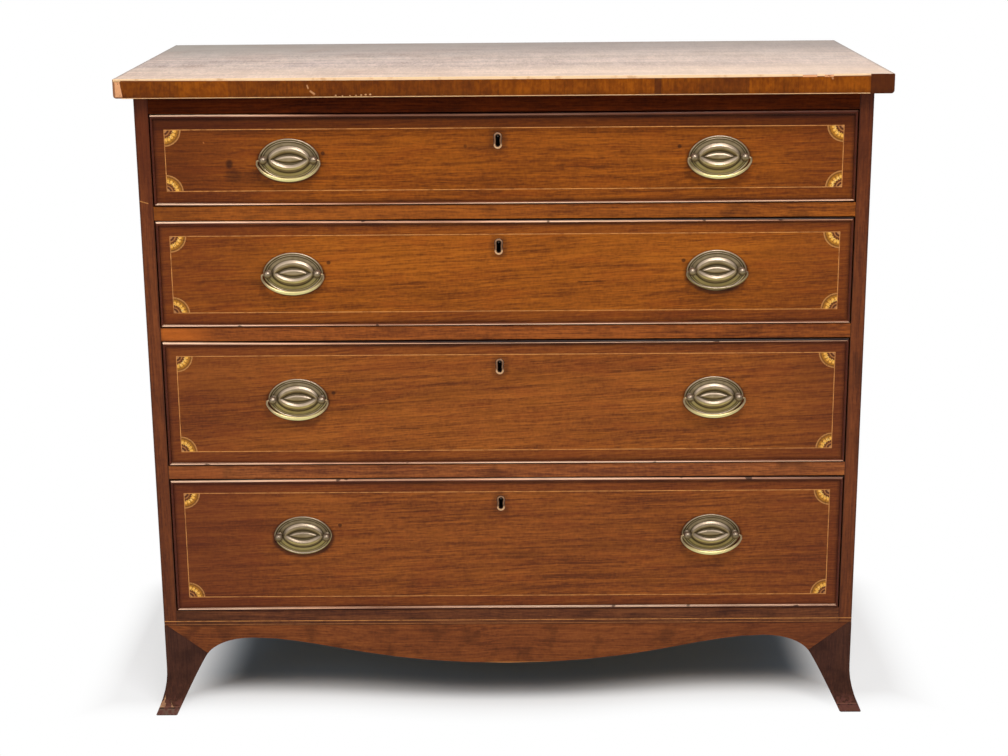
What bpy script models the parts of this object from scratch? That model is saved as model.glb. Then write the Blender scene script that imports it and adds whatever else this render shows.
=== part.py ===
"""A chest of four long drawers on splayed bracket feet, for Blender 4.5.

Metres, +Z up. The drawers face -Y, and the origin is on the floor under the
middle of the top board. Each drawer is a dovetailed box with two drop-bail
pulls and a lock whose bolt rises into the rail above it.
"""

import math

import bmesh
import bpy
from mathutils import Matrix, Vector
from mathutils.geometry import interpolate_bezier

# Case
CASE_WIDTH = 0.9948
CASE_DEPTH = 0.470
SIDE_THICKNESS = 0.0189
BASE_HEIGHT = 0.1345
BOTTOM_RAIL_HEIGHT = 0.0230
BOTTOM_OPENING = 0.2003
THIRD_OPENING = 0.1818
SECOND_OPENING = 0.1504
TOP_OPENING = 0.1263
DIVIDER_HEIGHT = 0.0194
TOP_RAIL_HEIGHT = 0.0225
RAIL_DEPTH = 0.060
REAR_RAIL_DEPTH = 0.030
RUNNER_WIDTH = 0.034
DUSTBOARD_THICKNESS = 0.010
HOUSING_DEPTH = 0.006
HOUSING_SETBACK = 0.012
BACK_THICKNESS = 0.010
BACK_REBATE = 0.008
BACK_PLANKS = 4
PLANK_GROOVE = 0.0015
KICKER_WIDTH = 0.015
ARRIS = 0.0008

# Top board
TOP_THICKNESS = 0.0263
SIDE_OVERHANG = 0.0226
FRONT_OVERHANG = 0.020
BACK_OVERHANG = 0.002
TOP_ARRIS = 0.0012

# Feet and aprons: widths run in from the case's outer face, shares go up the base
BRACKET_THICKNESS = 0.018
TOE_WIDTH = 0.014
TOE_FLARE = 0.017
TOE_ARRIS = 0.0015
FLARE_SHARE = 0.4907
KNEE_WIDTH = 0.061
KNEE_SHARE = 0.6766
MITRE_WIDTH = 0.004
GLUE_BLOCK = 0.008
SHOULDER_WIDTH = 0.1274
SHOULDER_SHARE = 0.855
FRONT_APRON_SHARE = 0.5465
SIDE_APRON_SHARE = 0.7732

# A curve's handles, as shares of its run and its rise, and the points along it
FOOT_HANDLES = ((0.34, 0.36), (0.79, 0.835))
HOLLOW_HANDLES = ((0.076, 0.31), (0.365, 1.0))
SERPENTINE_HANDLES = ((0.26, 0.0), (0.46, 1.0))
CURVE_POINTS = 10

# Drawers
FRONT_THICKNESS = 0.020
BEAD_WIDTH = 0.0034
BEAD_PROUD = 0.003
BEAD_ROUND = 0.0014
LINING_THICKNESS = 0.011
DRAWER_BACK_THICKNESS = 0.009
DRAWER_BOTTOM_THICKNESS = 0.007
DRAWER_BOTTOM_LIFT = 0.008
GROOVE_DEPTH = 0.0045
BACK_DROP = 0.006
TAIL_LAP = 0.005
TAIL_PITCH = 0.032
TAIL_SHARE = 0.62
TAIL_SLOPE = 1 / 7

# Locks and keyholes
KEYHOLE_X = -0.008
KEYHOLE_DROP = 0.0355
KEYHOLE_HEIGHT = 0.017
KEYHOLE_HEAD_RADIUS = 0.0035
KEYHOLE_SLOT_WIDTH = 0.0055
KEYHOLE_HEAD_STEPS = 8
KEYHOLE_FOOT_STEPS = 4
LINER_WIDTH = 0.003
LINER_DEPTH = 0.0012
LOCK_WIDTH = 0.062
LOCK_HEIGHT = 0.052
LOCK_PLATE = 0.002
LOCK_CASE_WIDTH = 0.050
LOCK_CASE_DEPTH = 0.011
LOCK_CASE_FOOT = 0.004
BOLT_WIDTH = 0.022
BOLT_THICKNESS = 0.006
BOLT_HEIGHT = 0.016
BOLT_TRAVEL = 0.008

# Pulls
PULL_X = 0.291
BOTTOM_PULL_DROP = 0.0822
THIRD_PULL_DROP = 0.0802
SECOND_PULL_DROP = 0.0705
TOP_PULL_DROP = 0.0593
PLATE_WIDTH = 0.083
PLATE_HEIGHT = 0.057
PLATE_THICKNESS = 0.0012
PLATE_EDGES = 20
POST_SPACING = 0.068
ROUND_EDGES = 8
POST_REACH = 0.0105
POST_RADIUS = 0.0032
POST_COLLAR_RADIUS = 0.0048
POST_COLLAR_HEIGHT = 0.0031
POST_COLLAR_ROUND = 0.0007
BALL_RADIUS = 0.0058
BALL_ANGLES = (35, 70, 105)
ROD_RADIUS = 0.002
NUT_RADIUS = 0.0055
NUT_THICKNESS = 0.003
BAIL_WIDTH = 0.089
BAIL_DROP = 0.0265
BAIL_END_RADIUS = 0.0015
BAIL_GRIP_RADIUS = 0.0028
SLIM_BAIL_WIDTH = 0.0868
SLIM_BAIL_DROP = 0.0235
SLIM_BAIL_GRIP_RADIUS = 0.0019
BAIL_ELBOW_RADIUS = 0.003
BAIL_FIRST_ANGLE = 10
BAIL_STEPS = 10
PIN_RADIUS = 0.00135
PIN_DEPTH = 0.004
SLIM_BAIL_PULL = "second_right"
BARE_PULL = "bottom_left"

# Fits
SEAT_GAP = 0.0003
DRAWER_SIDE_GAP = 0.0022
DRAWER_BOTTOM_GAP = 0.0015
DRAWER_TOP_GAP = 0.0033
LINING_TOP_GAP = 0.006
DRAWER_BACK_GAP = 0.020
ROD_CLEARANCE = 0.0005
PIN_CLEARANCE = 0.0004
BOLT_CLEARANCE = 0.001
OVERCUT = 0.01

# Rounding and shading
ROUND_PROFILE = 0.5
SMOOTH_ANGLE = 35

# Worked out from the sizes above
TOP_WIDTH = CASE_WIDTH + 2 * SIDE_OVERHANG
TOP_DEPTH = FRONT_OVERHANG + CASE_DEPTH + BACK_OVERHANG
SIDE_X = CASE_WIDTH / 2
INNER_X = SIDE_X - SIDE_THICKNESS
FRONT_Y = FRONT_OVERHANG - TOP_DEPTH / 2
BACK_Y = FRONT_Y + CASE_DEPTH
BACK_PANEL_Y = BACK_Y - BACK_THICKNESS
OPENINGS = (
    ("bottom", BOTTOM_OPENING, BOTTOM_PULL_DROP),
    ("third", THIRD_OPENING, THIRD_PULL_DROP),
    ("second", SECOND_OPENING, SECOND_PULL_DROP),
    ("top", TOP_OPENING, TOP_PULL_DROP),
)
DRAWER_X = INNER_X - DRAWER_SIDE_GAP
LINING_X = DRAWER_X - LINING_THICKNESS
FRONT_BACK_Y = FRONT_Y + FRONT_THICKNESS
DRAWER_END_Y = BACK_PANEL_Y - DRAWER_BACK_GAP
TAIL_LENGTH = FRONT_THICKNESS - TAIL_LAP
FLARE_HEIGHT = FLARE_SHARE * BASE_HEIGHT
KNEE_HEIGHT = KNEE_SHARE * BASE_HEIGHT
SHOULDER_HEIGHT = SHOULDER_SHARE * BASE_HEIGHT
FRONT_APRON_HEIGHT = FRONT_APRON_SHARE * BASE_HEIGHT
SIDE_APRON_HEIGHT = SIDE_APRON_SHARE * BASE_HEIGHT


def opening_floors():
    """The height of each opening's floor, from the bottom drawer up, then the case's top."""
    floors = []
    level = BASE_HEIGHT + BOTTOM_RAIL_HEIGHT
    for _, height, _ in OPENINGS:
        floors.append(level)
        level += height + DIVIDER_HEIGHT
    return floors, level - DIVIDER_HEIGHT + TOP_RAIL_HEIGHT


FLOORS, CASE_TOP = opening_floors()


def clear_scene():
    for old in list(bpy.data.objects):
        bpy.data.objects.remove(old, do_unlink=True)


def finish_of(name, colour, roughness, metallic=0.0):
    """A Principled BSDF finish, made once and shared by the pieces that have it."""
    material = bpy.data.materials.get(name)
    if material is None:
        material = bpy.data.materials.new(name)
        material.use_nodes = True
        shader = material.node_tree.nodes["Principled BSDF"]
        shader.inputs["Base Color"].default_value = (*colour, 1)
        shader.inputs["Roughness"].default_value = roughness
        shader.inputs["Metallic"].default_value = metallic
        material.diffuse_color = (*colour, 1)
    return material


def mahogany():
    return finish_of("mahogany", (0.20, 0.065, 0.022), 0.35)


def dark_mahogany():
    return finish_of("dark_mahogany", (0.10, 0.026, 0.010), 0.38)


def lining_wood():
    return finish_of("lining_pine", (0.42, 0.27, 0.14), 0.7)


def brass():
    return finish_of("antique_brass", (0.42, 0.34, 0.17), 0.35, 1.0)


def lock_iron():
    return finish_of("lock_iron", (0.20, 0.18, 0.15), 0.5, 1.0)


def add_object(name, data, finish, origin=(0, 0, 0), parent=None):
    piece = bpy.data.objects.new(name, data)
    bpy.context.scene.collection.objects.link(piece)
    data.materials.clear()
    data.materials.append(finish)
    piece.location = Vector(origin)
    if parent is not None:
        piece.parent = parent
        piece.location = Vector(origin) - parent.location
    return piece


def mesh_object(name, shape, finish, origin=(0, 0, 0), parent=None, smooth=False):
    """Turns a bmesh drawn in world places into an object whose origin is at the given point."""
    bmesh.ops.recalc_face_normals(shape, faces=shape.faces)
    bmesh.ops.translate(shape, verts=shape.verts, vec=-Vector(origin))
    mesh = bpy.data.meshes.new(name)
    shape.to_mesh(mesh)
    shape.free()
    if smooth:
        mesh.shade_smooth()
        mesh.set_sharp_from_angle(angle=math.radians(SMOOTH_ANGLE))
    return add_object(name, mesh, finish, origin, parent)


def world_origin(piece):
    """Where a piece's origin stands, through its parents, none of which is turned."""
    place = piece.location.copy()
    while piece.parent is not None:
        piece = piece.parent
        place += piece.location
    return place


def combine(piece, shape, operation="DIFFERENCE"):
    """Cuts the drawn shape out of a piece, or joins it on, with a live Boolean that moves with it."""
    count = len([m for m in piece.modifiers if m.type == "BOOLEAN"])
    tool = mesh_object(
        f"{piece.name}_cut_{count}", shape, dark_mahogany(), world_origin(piece)
    )
    tool.parent = piece
    tool.location = (0, 0, 0)
    tool.hide_render = True
    tool.display_type = "WIRE"
    change = piece.modifiers.new(f"{operation.lower()}_{count}", "BOOLEAN")
    change.operation = operation
    change.solver = "EXACT"
    change.object = tool
    return tool


def box(shape, x, y, z):
    """Adds a box between pairs of x, y and z."""
    size = Vector((x[1] - x[0], y[1] - y[0], z[1] - z[0]))
    middle = Vector((x[0] + x[1], y[0] + y[1], z[0] + z[1])) / 2
    place = Matrix.Translation(middle) @ Matrix.Diagonal((*size, 1))
    return bmesh.ops.create_cube(shape, size=1, matrix=place)["verts"]


def new_box(x, y, z):
    shape = bmesh.new()
    box(shape, x, y, z)
    return shape


def prism(shape, outline, axis, start, end):
    """Extrudes a flat outline along x, y or z. Outline points are the other two, in order."""
    def corner(point, level):
        first, second = point
        return {
            "x": (level, first, second),
            "y": (first, level, second),
            "z": (first, second, level),
        }[axis]

    verts = [shape.verts.new(corner(point, start)) for point in outline]
    face = shape.faces.new(verts)
    pushed = bmesh.ops.extrude_face_region(shape, geom=[face])["geom"]
    moved = [part for part in pushed if isinstance(part, bmesh.types.BMVert)]
    bmesh.ops.translate(shape, verts=moved, vec=corner((0, 0), end - start))
    return shape


def new_prism(outline, axis, start, end):
    return prism(bmesh.new(), outline, axis, start, end)


def arc(centre, radius, start, end, steps):
    """Points on an arc, from one angle in degrees to another."""
    points = []
    for step in range(steps + 1):
        angle = math.radians(start + (end - start) * step / steps)
        points.append(
            (centre[0] + radius * math.cos(angle), centre[1] + radius * math.sin(angle))
        )
    return points


def bezier(start, end, handles):
    """Points along a cubic curve, with both ends."""
    run, rise = end[0] - start[0], end[1] - start[1]
    corners = [Vector((*start, 0))]
    for across, up in handles:
        corners.append(Vector((start[0] + across * run, start[1] + up * rise, 0)))
    corners.append(Vector((*end, 0)))
    return [(p.x, p.y) for p in interpolate_bezier(*corners, CURVE_POINTS)]


def turned(shape, profile, centre, axis, segments):
    """Revolves (radius, place along the axis) points round x or y. Radius 0 closes an end."""
    turn = Matrix.Rotation(math.radians(-90), 4, "X")
    if axis == "x":
        turn = Matrix.Rotation(math.radians(90), 4, "Y")
    rings = []
    for radius, along in profile:
        count = segments if radius else 1
        ring = []
        for step in range(count):
            angle = 2 * math.pi * (step + 0.5) / segments
            flat = Vector((radius * math.cos(angle), radius * math.sin(angle), along))
            ring.append(shape.verts.new(turn @ flat + Vector(centre)))
        rings.append(ring)
    for low, high in zip(rings, rings[1:]):
        for step in range(segments):
            after = (step + 1) % segments
            corners = [low[step % len(low)], low[after % len(low)]]
            corners += [high[after % len(high)], high[step % len(high)]]
            shape.faces.new(list(dict.fromkeys(corners)))
    return shape


def rod(shape, centre, axis, radius, start, end):
    """A round rod along x or y, closed at both ends."""
    profile = [(0, start), (radius, start), (radius, end), (0, end)]
    return turned(shape, profile, centre, axis, ROUND_EDGES)


def trim(shape, point, normal):
    """Removes what lies past a plane, and closes the cut."""
    parts = list(shape.verts) + list(shape.edges) + list(shape.faces)
    cut = bmesh.ops.bisect_plane(
        shape, geom=parts, plane_co=point, plane_no=normal, clear_outer=True
    )["geom_cut"]
    edges = [part for part in cut if isinstance(part, bmesh.types.BMEdge)]
    bmesh.ops.holes_fill(shape, edges=edges, sides=0)


def housed_outline(half_width, tongue, front, shoulder, back):
    """A board seen from above: its front fits between the sides, its tongues in their housings."""
    return [
        (-half_width, front),
        (half_width, front),
        (half_width, shoulder),
        (half_width + tongue, shoulder),
        (half_width + tongue, back),
        (-half_width - tongue, back),
        (-half_width - tongue, shoulder),
        (-half_width, shoulder),
    ]


def bolt_y():
    """The middle of the lock's case, where the bolt stands."""
    return FRONT_BACK_Y - LOCK_PLATE - (LOCK_CASE_DEPTH - LOCK_PLATE) / 2


def bolt_mortise(floor):
    """The pocket in a rail's underside that a lock's bolt rises into."""
    depth = BOLT_TRAVEL - DRAWER_TOP_GAP + BOLT_CLEARANCE
    half = BOLT_WIDTH / 2 + BOLT_CLEARANCE
    reach = BOLT_THICKNESS / 2 + BOLT_CLEARANCE
    return new_box(
        (KEYHOLE_X - half, KEYHOLE_X + half),
        (bolt_y() - reach, bolt_y() + reach),
        (floor - OVERCUT, floor + depth),
    )


def housed_board(name, low, high, back, mortised, panelled):
    """A rail across the case, housed in the sides, with a dustboard behind it where asked."""
    outline = housed_outline(
        INNER_X - SEAT_GAP,
        HOUSING_DEPTH,
        FRONT_Y,
        FRONT_Y + HOUSING_SETBACK + SEAT_GAP,
        back,
    )
    board = mesh_object(name, new_prism(outline, "z", low, high), dark_mahogany())
    if panelled:
        pocket = new_box(
            (RUNNER_WIDTH - INNER_X, INNER_X - RUNNER_WIDTH),
            (FRONT_Y + RAIL_DEPTH, back - REAR_RAIL_DEPTH),
            (low - OVERCUT, high - DUSTBOARD_THICKNESS),
        )
        combine(board, pocket)
    if mortised:
        combine(board, bolt_mortise(low))
    return board


def build_rails():
    board_back = BACK_PANEL_Y - SEAT_GAP
    bottom_top = BASE_HEIGHT + BOTTOM_RAIL_HEIGHT
    housed_board("bottom_board", BASE_HEIGHT, bottom_top, board_back, False, True)
    names = ("lower_divider", "middle_divider", "upper_divider")
    for name, floor in zip(names, FLOORS[1:]):
        housed_board(name, floor - DIVIDER_HEIGHT, floor, board_back, True, True)
    low = CASE_TOP - TOP_RAIL_HEIGHT
    housed_board("top_rail", low, CASE_TOP, FRONT_Y + RAIL_DEPTH, True, False)


def build_side(name, side):
    """A side board with housings for the rails, a rebate for the back and a drawer kicker."""
    def across(inner, outer):
        return tuple(sorted((side * inner, side * outer)))

    shape = new_box(across(INNER_X, SIDE_X), (FRONT_Y, BACK_Y), (BASE_HEIGHT, CASE_TOP))
    edges = [
        edge
        for edge in shape.edges
        if all(
            abs(vert.co.y - FRONT_Y) < SEAT_GAP and abs(abs(vert.co.x) - SIDE_X) < SEAT_GAP
            for vert in edge.verts
        )
    ]
    bmesh.ops.bevel(
        shape, geom=edges, offset=ARRIS, segments=2, affect="EDGES", profile=ROUND_PROFILE
    )
    board = mesh_object(name, shape, mahogany())

    housings = bmesh.new()
    depth = across(INNER_X - OVERCUT, INNER_X + HOUSING_DEPTH)
    front = FRONT_Y + HOUSING_SETBACK
    for floor in FLOORS[1:]:
        ends = (floor - DIVIDER_HEIGHT - SEAT_GAP, floor + SEAT_GAP)
        box(housings, depth, (front, BACK_PANEL_Y + SEAT_GAP), ends)
    bottom = (BASE_HEIGHT - OVERCUT, FLOORS[0] + SEAT_GAP)
    box(housings, depth, (front, BACK_PANEL_Y + SEAT_GAP), bottom)
    notch_back = FRONT_Y + RAIL_DEPTH + SEAT_GAP
    notch = (CASE_TOP - TOP_RAIL_HEIGHT - SEAT_GAP, CASE_TOP + OVERCUT)
    box(housings, depth, (front, notch_back), notch)
    combine(board, housings)

    rebate = new_box(
        across(INNER_X - OVERCUT, INNER_X + BACK_REBATE),
        (BACK_PANEL_Y - SEAT_GAP, BACK_Y + OVERCUT),
        (BASE_HEIGHT - OVERCUT, CASE_TOP + OVERCUT),
    )
    combine(board, rebate)

    kicker = new_box(
        across(INNER_X - KICKER_WIDTH, INNER_X + HOUSING_DEPTH / 2),
        (notch_back + ARRIS, BACK_PANEL_Y - ARRIS),
        (CASE_TOP - TOP_RAIL_HEIGHT, CASE_TOP - ARRIS),
    )
    combine(board, kicker, "UNION")


def build_back():
    """Planks across the back, their joints drawn as shallow grooves."""
    half = INNER_X + BACK_REBATE - SEAT_GAP
    outline = [(BACK_PANEL_Y, CASE_TOP), (BACK_PANEL_Y, BASE_HEIGHT), (BACK_Y, BASE_HEIGHT)]
    for plank in range(1, BACK_PLANKS):
        joint = BASE_HEIGHT + (CASE_TOP - BASE_HEIGHT) * plank / BACK_PLANKS
        outline += [
            (BACK_Y, joint - PLANK_GROOVE),
            (BACK_Y - PLANK_GROOVE, joint),
            (BACK_Y, joint + PLANK_GROOVE),
        ]
    outline.append((BACK_Y, CASE_TOP))
    mesh_object("back_panel", new_prism(outline, "x", -half, half), lining_wood())


def build_top():
    low = CASE_TOP + SEAT_GAP
    shape = new_box(
        (-TOP_WIDTH / 2, TOP_WIDTH / 2),
        (-TOP_DEPTH / 2, TOP_DEPTH / 2),
        (low, low + TOP_THICKNESS),
    )
    top = mesh_object("top_board", shape, mahogany())
    arris = top.modifiers.new("arris", "BEVEL")
    arris.width = TOP_ARRIS
    arris.segments = 2


def apron_half(half_length, middle_height):
    """The lower edge from the knee to the middle, as (distance in from the corner, height)."""
    knee = (KNEE_WIDTH + SEAT_GAP, KNEE_HEIGHT)
    shoulder = (SHOULDER_WIDTH, SHOULDER_HEIGHT)
    hollow = bezier(knee, shoulder, HOLLOW_HANDLES)
    serpentine = bezier(shoulder, (half_length, middle_height), SERPENTINE_HANDLES)
    return hollow + serpentine[1:]


def apron_outline(half_length, middle_height):
    """A whole apron's outline about its middle, mitred to the feet at both ends."""
    top = BASE_HEIGHT - SEAT_GAP
    half = [(MITRE_WIDTH + 2 * SEAT_GAP, top)] + apron_half(half_length, middle_height)
    left = [(distance - half_length, height) for distance, height in half]
    right = [(-place, height) for place, height in reversed(left[:-1])]
    return left + right


def build_aprons():
    outline = apron_outline(SIDE_X, FRONT_APRON_HEIGHT)
    shape = new_prism(outline, "y", FRONT_Y, FRONT_Y + BRACKET_THICKNESS)
    for side in (-1, 1):
        trim(shape, (side * (SIDE_X - SEAT_GAP), FRONT_Y, 0), (side, 1, 0))
    mesh_object("front_apron", shape, mahogany(), smooth=True)

    middle = (FRONT_Y + BACK_Y) / 2
    outline = apron_outline(CASE_DEPTH / 2, SIDE_APRON_HEIGHT)
    outline = [(middle + place, height) for place, height in outline]
    for name, side in (("side_apron_left", -1), ("side_apron_right", 1)):
        faces = sorted((side * (SIDE_X - BRACKET_THICKNESS), side * SIDE_X))
        shape = new_prism(outline, "x", *faces)
        trim(shape, (side * SIDE_X, FRONT_Y + SEAT_GAP, 0), (-side, -1, 0))
        mesh_object(name, shape, mahogany(), smooth=True)


def foot_ring(width, flare_x, flare_y, shrink=0.0):
    """A bracket foot's level section, from its outer corner inwards, with its glue block."""
    low_x = -flare_x + shrink
    low_y = -flare_y + shrink
    wide = width - shrink
    inner_x = BRACKET_THICKNESS - flare_x - shrink
    inner_y = BRACKET_THICKNESS - flare_y - shrink
    return [
        (low_x, low_y),
        (wide, low_y),
        (wide, inner_y),
        (inner_x + GLUE_BLOCK, inner_y),
        (inner_x, inner_y + GLUE_BLOCK),
        (inner_x, wide),
        (low_x, wide),
    ]


def foot_sections(flares_back):
    """Every level of a foot from the floor up, as (height, ring)."""
    inner_edge = bezier((TOE_WIDTH, 0), (KNEE_WIDTH, KNEE_HEIGHT), FOOT_HANDLES)
    inner_edge.insert(1, (TOE_WIDTH + TOE_ARRIS / 2, TOE_ARRIS))
    inner_edge.append((KNEE_WIDTH, BASE_HEIGHT - SEAT_GAP))
    sections = []
    for width, height in inner_edge:
        flare = TOE_FLARE * max(0.0, 1 - height / FLARE_HEIGHT) ** 2
        shrink = 0.0 if sections else TOE_ARRIS
        sections.append((height, foot_ring(width, flare, flare * flares_back, shrink)))
    return sections


def mitre_wedge():
    """What an apron's end takes from a foot, as (distance in from the corner, height)."""
    top = Vector((MITRE_WIDTH, BASE_HEIGHT))
    knee = Vector((KNEE_WIDTH, KNEE_HEIGHT))
    past = (knee - top).normalized() * OVERCUT
    above, below = top - past, knee + past
    far = KNEE_WIDTH + BRACKET_THICKNESS
    return [tuple(below), (far, below.y), (far, above.y), tuple(above)]


def build_foot(name, side, end):
    """A splayed bracket foot. A rear foot flares to the side only, so the chest meets a wall."""
    front = end < 0
    corner_y = FRONT_Y if front else BACK_Y

    def place(point, height):
        return Vector((side * (SIDE_X - point[0]), corner_y - end * point[1], height))

    shape = bmesh.new()
    rings = []
    for height, ring in foot_sections(1 if front else 0):
        rings.append([shape.verts.new(place(point, height)) for point in ring])
    for low, high in zip(rings, rings[1:]):
        for step in range(len(low)):
            after = (step + 1) % len(low)
            shape.faces.new((low[step], low[after], high[after], high[step]))
    shape.faces.new(rings[0])
    shape.faces.new(rings[-1])
    foot = mesh_object(name, shape, dark_mahogany(), smooth=True)

    reach = BRACKET_THICKNESS + SEAT_GAP
    wedge = mitre_wedge()
    side_faces = sorted((side * (SIDE_X + OVERCUT), side * (SIDE_X - reach)))
    side_cut = [(corner_y - end * distance, height) for distance, height in wedge]
    combine(foot, new_prism(side_cut, "x", *side_faces))
    if front:
        front_cut = [(side * (SIDE_X - distance), height) for distance, height in wedge]
        combine(foot, new_prism(front_cut, "y", FRONT_Y - OVERCUT, FRONT_Y + reach))


def tails(low, high, shoulder, length, toward):
    """Dovetails between two heights, as (middle, half width at the shoulder, at the tip)."""
    count = max(2, round((high - low) / TAIL_PITCH))
    pitch = (high - low) / count
    base = pitch * TAIL_SHARE / 2
    tip = base + length * TAIL_SLOPE
    middles = [low + pitch * (step + 0.5) for step in range(count)]
    return [(middle, base, tip, shoulder, shoulder + toward * length) for middle in middles]


def tail_sockets(shape, dovetails, toward):
    """Adds the cutters for a board's sockets, a seat gap larger all round, at both its ends."""
    for middle, base, tip, shoulder, end in dovetails:
        spread = (tip - base) / abs(end - shoulder)
        near = shoulder - toward * OVERCUT
        far = end + toward * SEAT_GAP
        near_half = base - spread * OVERCUT + SEAT_GAP
        far_half = tip + spread * SEAT_GAP + SEAT_GAP
        outline = [
            (near, middle - near_half),
            (far, middle - far_half),
            (far, middle + far_half),
            (near, middle + near_half),
        ]
        for side in (-1, 1):
            ends = sorted((side * (LINING_X - SEAT_GAP), side * (DRAWER_X + OVERCUT)))
            prism(shape, outline, "x", *ends)


def keyhole_outline(middle, grow=0.0):
    """A keyhole: a round head over a slot with a round foot, grown outwards for its liner."""
    head = KEYHOLE_HEAD_RADIUS + grow
    slot = KEYHOLE_SLOT_WIDTH / 2 + grow
    head_z = middle + KEYHOLE_HEIGHT / 2 - KEYHOLE_HEAD_RADIUS
    foot_z = middle - KEYHOLE_HEIGHT / 2 + KEYHOLE_SLOT_WIDTH / 2
    meet = math.degrees(math.acos(slot / head))
    outline = arc((KEYHOLE_X, head_z), head, -meet, 180 + meet, KEYHOLE_HEAD_STEPS)
    outline += arc((KEYHOLE_X, foot_z), slot, 180, 360, KEYHOLE_FOOT_STEPS)
    return outline


class DrawerSizes:
    """The heights of one drawer's pieces, from its opening's floor and height."""

    def __init__(self, name, floor, height, pull_drop):
        self.name = name
        self.front_low = floor + DRAWER_BOTTOM_GAP
        self.front_high = floor + height - DRAWER_TOP_GAP
        self.lining_low = floor + SEAT_GAP
        self.lining_high = floor + height - LINING_TOP_GAP
        self.bottom_low = floor + DRAWER_BOTTOM_LIFT
        self.bottom_high = self.bottom_low + DRAWER_BOTTOM_THICKNESS
        self.back_low = self.bottom_high + SEAT_GAP
        self.back_high = self.lining_high - BACK_DROP
        self.keyhole = self.front_high - KEYHOLE_DROP
        self.pull = self.front_high - pull_drop
        self.front_tails = tails(
            self.front_low, self.lining_high, FRONT_BACK_Y, TAIL_LENGTH, -1
        )
        self.back_tails = tails(
            self.back_low,
            self.back_high,
            DRAWER_END_Y - DRAWER_BACK_THICKNESS,
            DRAWER_BACK_THICKNESS,
            1,
        )


def lock_outline(drawer, grow):
    """The lock's back plate and selvedge from the side, as (y, z), grown for its recess."""
    low = drawer.front_high - LOCK_HEIGHT - grow
    over = OVERCUT if grow else 0.0
    plate = FRONT_BACK_Y - LOCK_PLATE - grow
    selvedge = FRONT_BACK_Y - LOCK_CASE_DEPTH - grow
    return [
        (FRONT_BACK_Y + over, low),
        (plate, low),
        (plate, drawer.front_high - LOCK_PLATE - grow),
        (selvedge, drawer.front_high - LOCK_PLATE - grow),
        (selvedge, drawer.front_high + over),
        (FRONT_BACK_Y + over, drawer.front_high + over),
    ]


def lock_case_box(drawer, grow):
    half = LOCK_CASE_WIDTH / 2 + grow
    return new_box(
        (KEYHOLE_X - half, KEYHOLE_X + half),
        (FRONT_BACK_Y - LOCK_CASE_DEPTH - grow, FRONT_BACK_Y - LOCK_PLATE / 2),
        (
            drawer.front_high - LOCK_HEIGHT + LOCK_CASE_FOOT - grow,
            drawer.front_high - LOCK_PLATE / 2,
        ),
    )


def drawer_front(drawer, slide):
    """A drawer front with a half-round bead round its edge, cut for sides, bottom, lock and pulls."""
    shape = new_box(
        (-DRAWER_X, DRAWER_X),
        (FRONT_Y - BEAD_PROUD, FRONT_BACK_Y),
        (drawer.front_low, drawer.front_high),
    )
    crest = FRONT_Y - BEAD_PROUD
    face = min(shape.faces, key=lambda each: each.calc_center_median().y)
    bmesh.ops.inset_region(shape, faces=[face], thickness=BEAD_WIDTH, use_even_offset=True)
    sunk = bmesh.ops.extrude_discrete_faces(shape, faces=[face])["faces"]
    bmesh.ops.translate(shape, verts=sunk[0].verts, vec=(0, BEAD_PROUD, 0))
    crest_edges = [
        edge
        for edge in shape.edges
        if all(abs(vert.co.y - crest) < SEAT_GAP for vert in edge.verts)
        and len(edge.link_faces) == 2
        and math.degrees(edge.calc_face_angle()) > SMOOTH_ANGLE
    ]
    bmesh.ops.bevel(
        shape,
        geom=crest_edges,
        offset=BEAD_ROUND,
        segments=3,
        affect="EDGES",
        profile=ROUND_PROFILE,
    )
    front = mesh_object(
        f"{drawer.name}_drawer_front",
        shape,
        mahogany(),
        slide.location,
        slide,
    )

    cuts = bmesh.new()
    tail_sockets(cuts, drawer.front_tails, -1)
    groove = LINING_X - 2 * SEAT_GAP
    box(
        cuts,
        (-groove, groove),
        (FRONT_BACK_Y - GROOVE_DEPTH - SEAT_GAP, FRONT_BACK_Y + OVERCUT),
        (drawer.bottom_low - SEAT_GAP, drawer.bottom_high + SEAT_GAP),
    )
    for pull in (-PULL_X, PULL_X):
        for post in (-POST_SPACING / 2, POST_SPACING / 2):
            centre = (pull + post, 0, drawer.pull)
            ends = (FRONT_Y - OVERCUT, FRONT_BACK_Y + OVERCUT)
            rod(cuts, centre, "y", ROD_RADIUS + ROD_CLEARANCE, *ends)
    combine(front, cuts)

    half = LOCK_WIDTH / 2 + SEAT_GAP
    plate = new_prism(
        lock_outline(drawer, SEAT_GAP), "x", KEYHOLE_X - half, KEYHOLE_X + half
    )
    combine(front, plate)
    combine(front, lock_case_box(drawer, SEAT_GAP))
    liner = keyhole_outline(drawer.keyhole, LINER_WIDTH)
    combine(front, new_prism(liner, "y", FRONT_Y - OVERCUT, FRONT_Y + LINER_DEPTH))
    hole = keyhole_outline(drawer.keyhole)
    combine(front, new_prism(hole, "y", FRONT_Y - OVERCUT, FRONT_BACK_Y - LOCK_PLATE))


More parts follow.
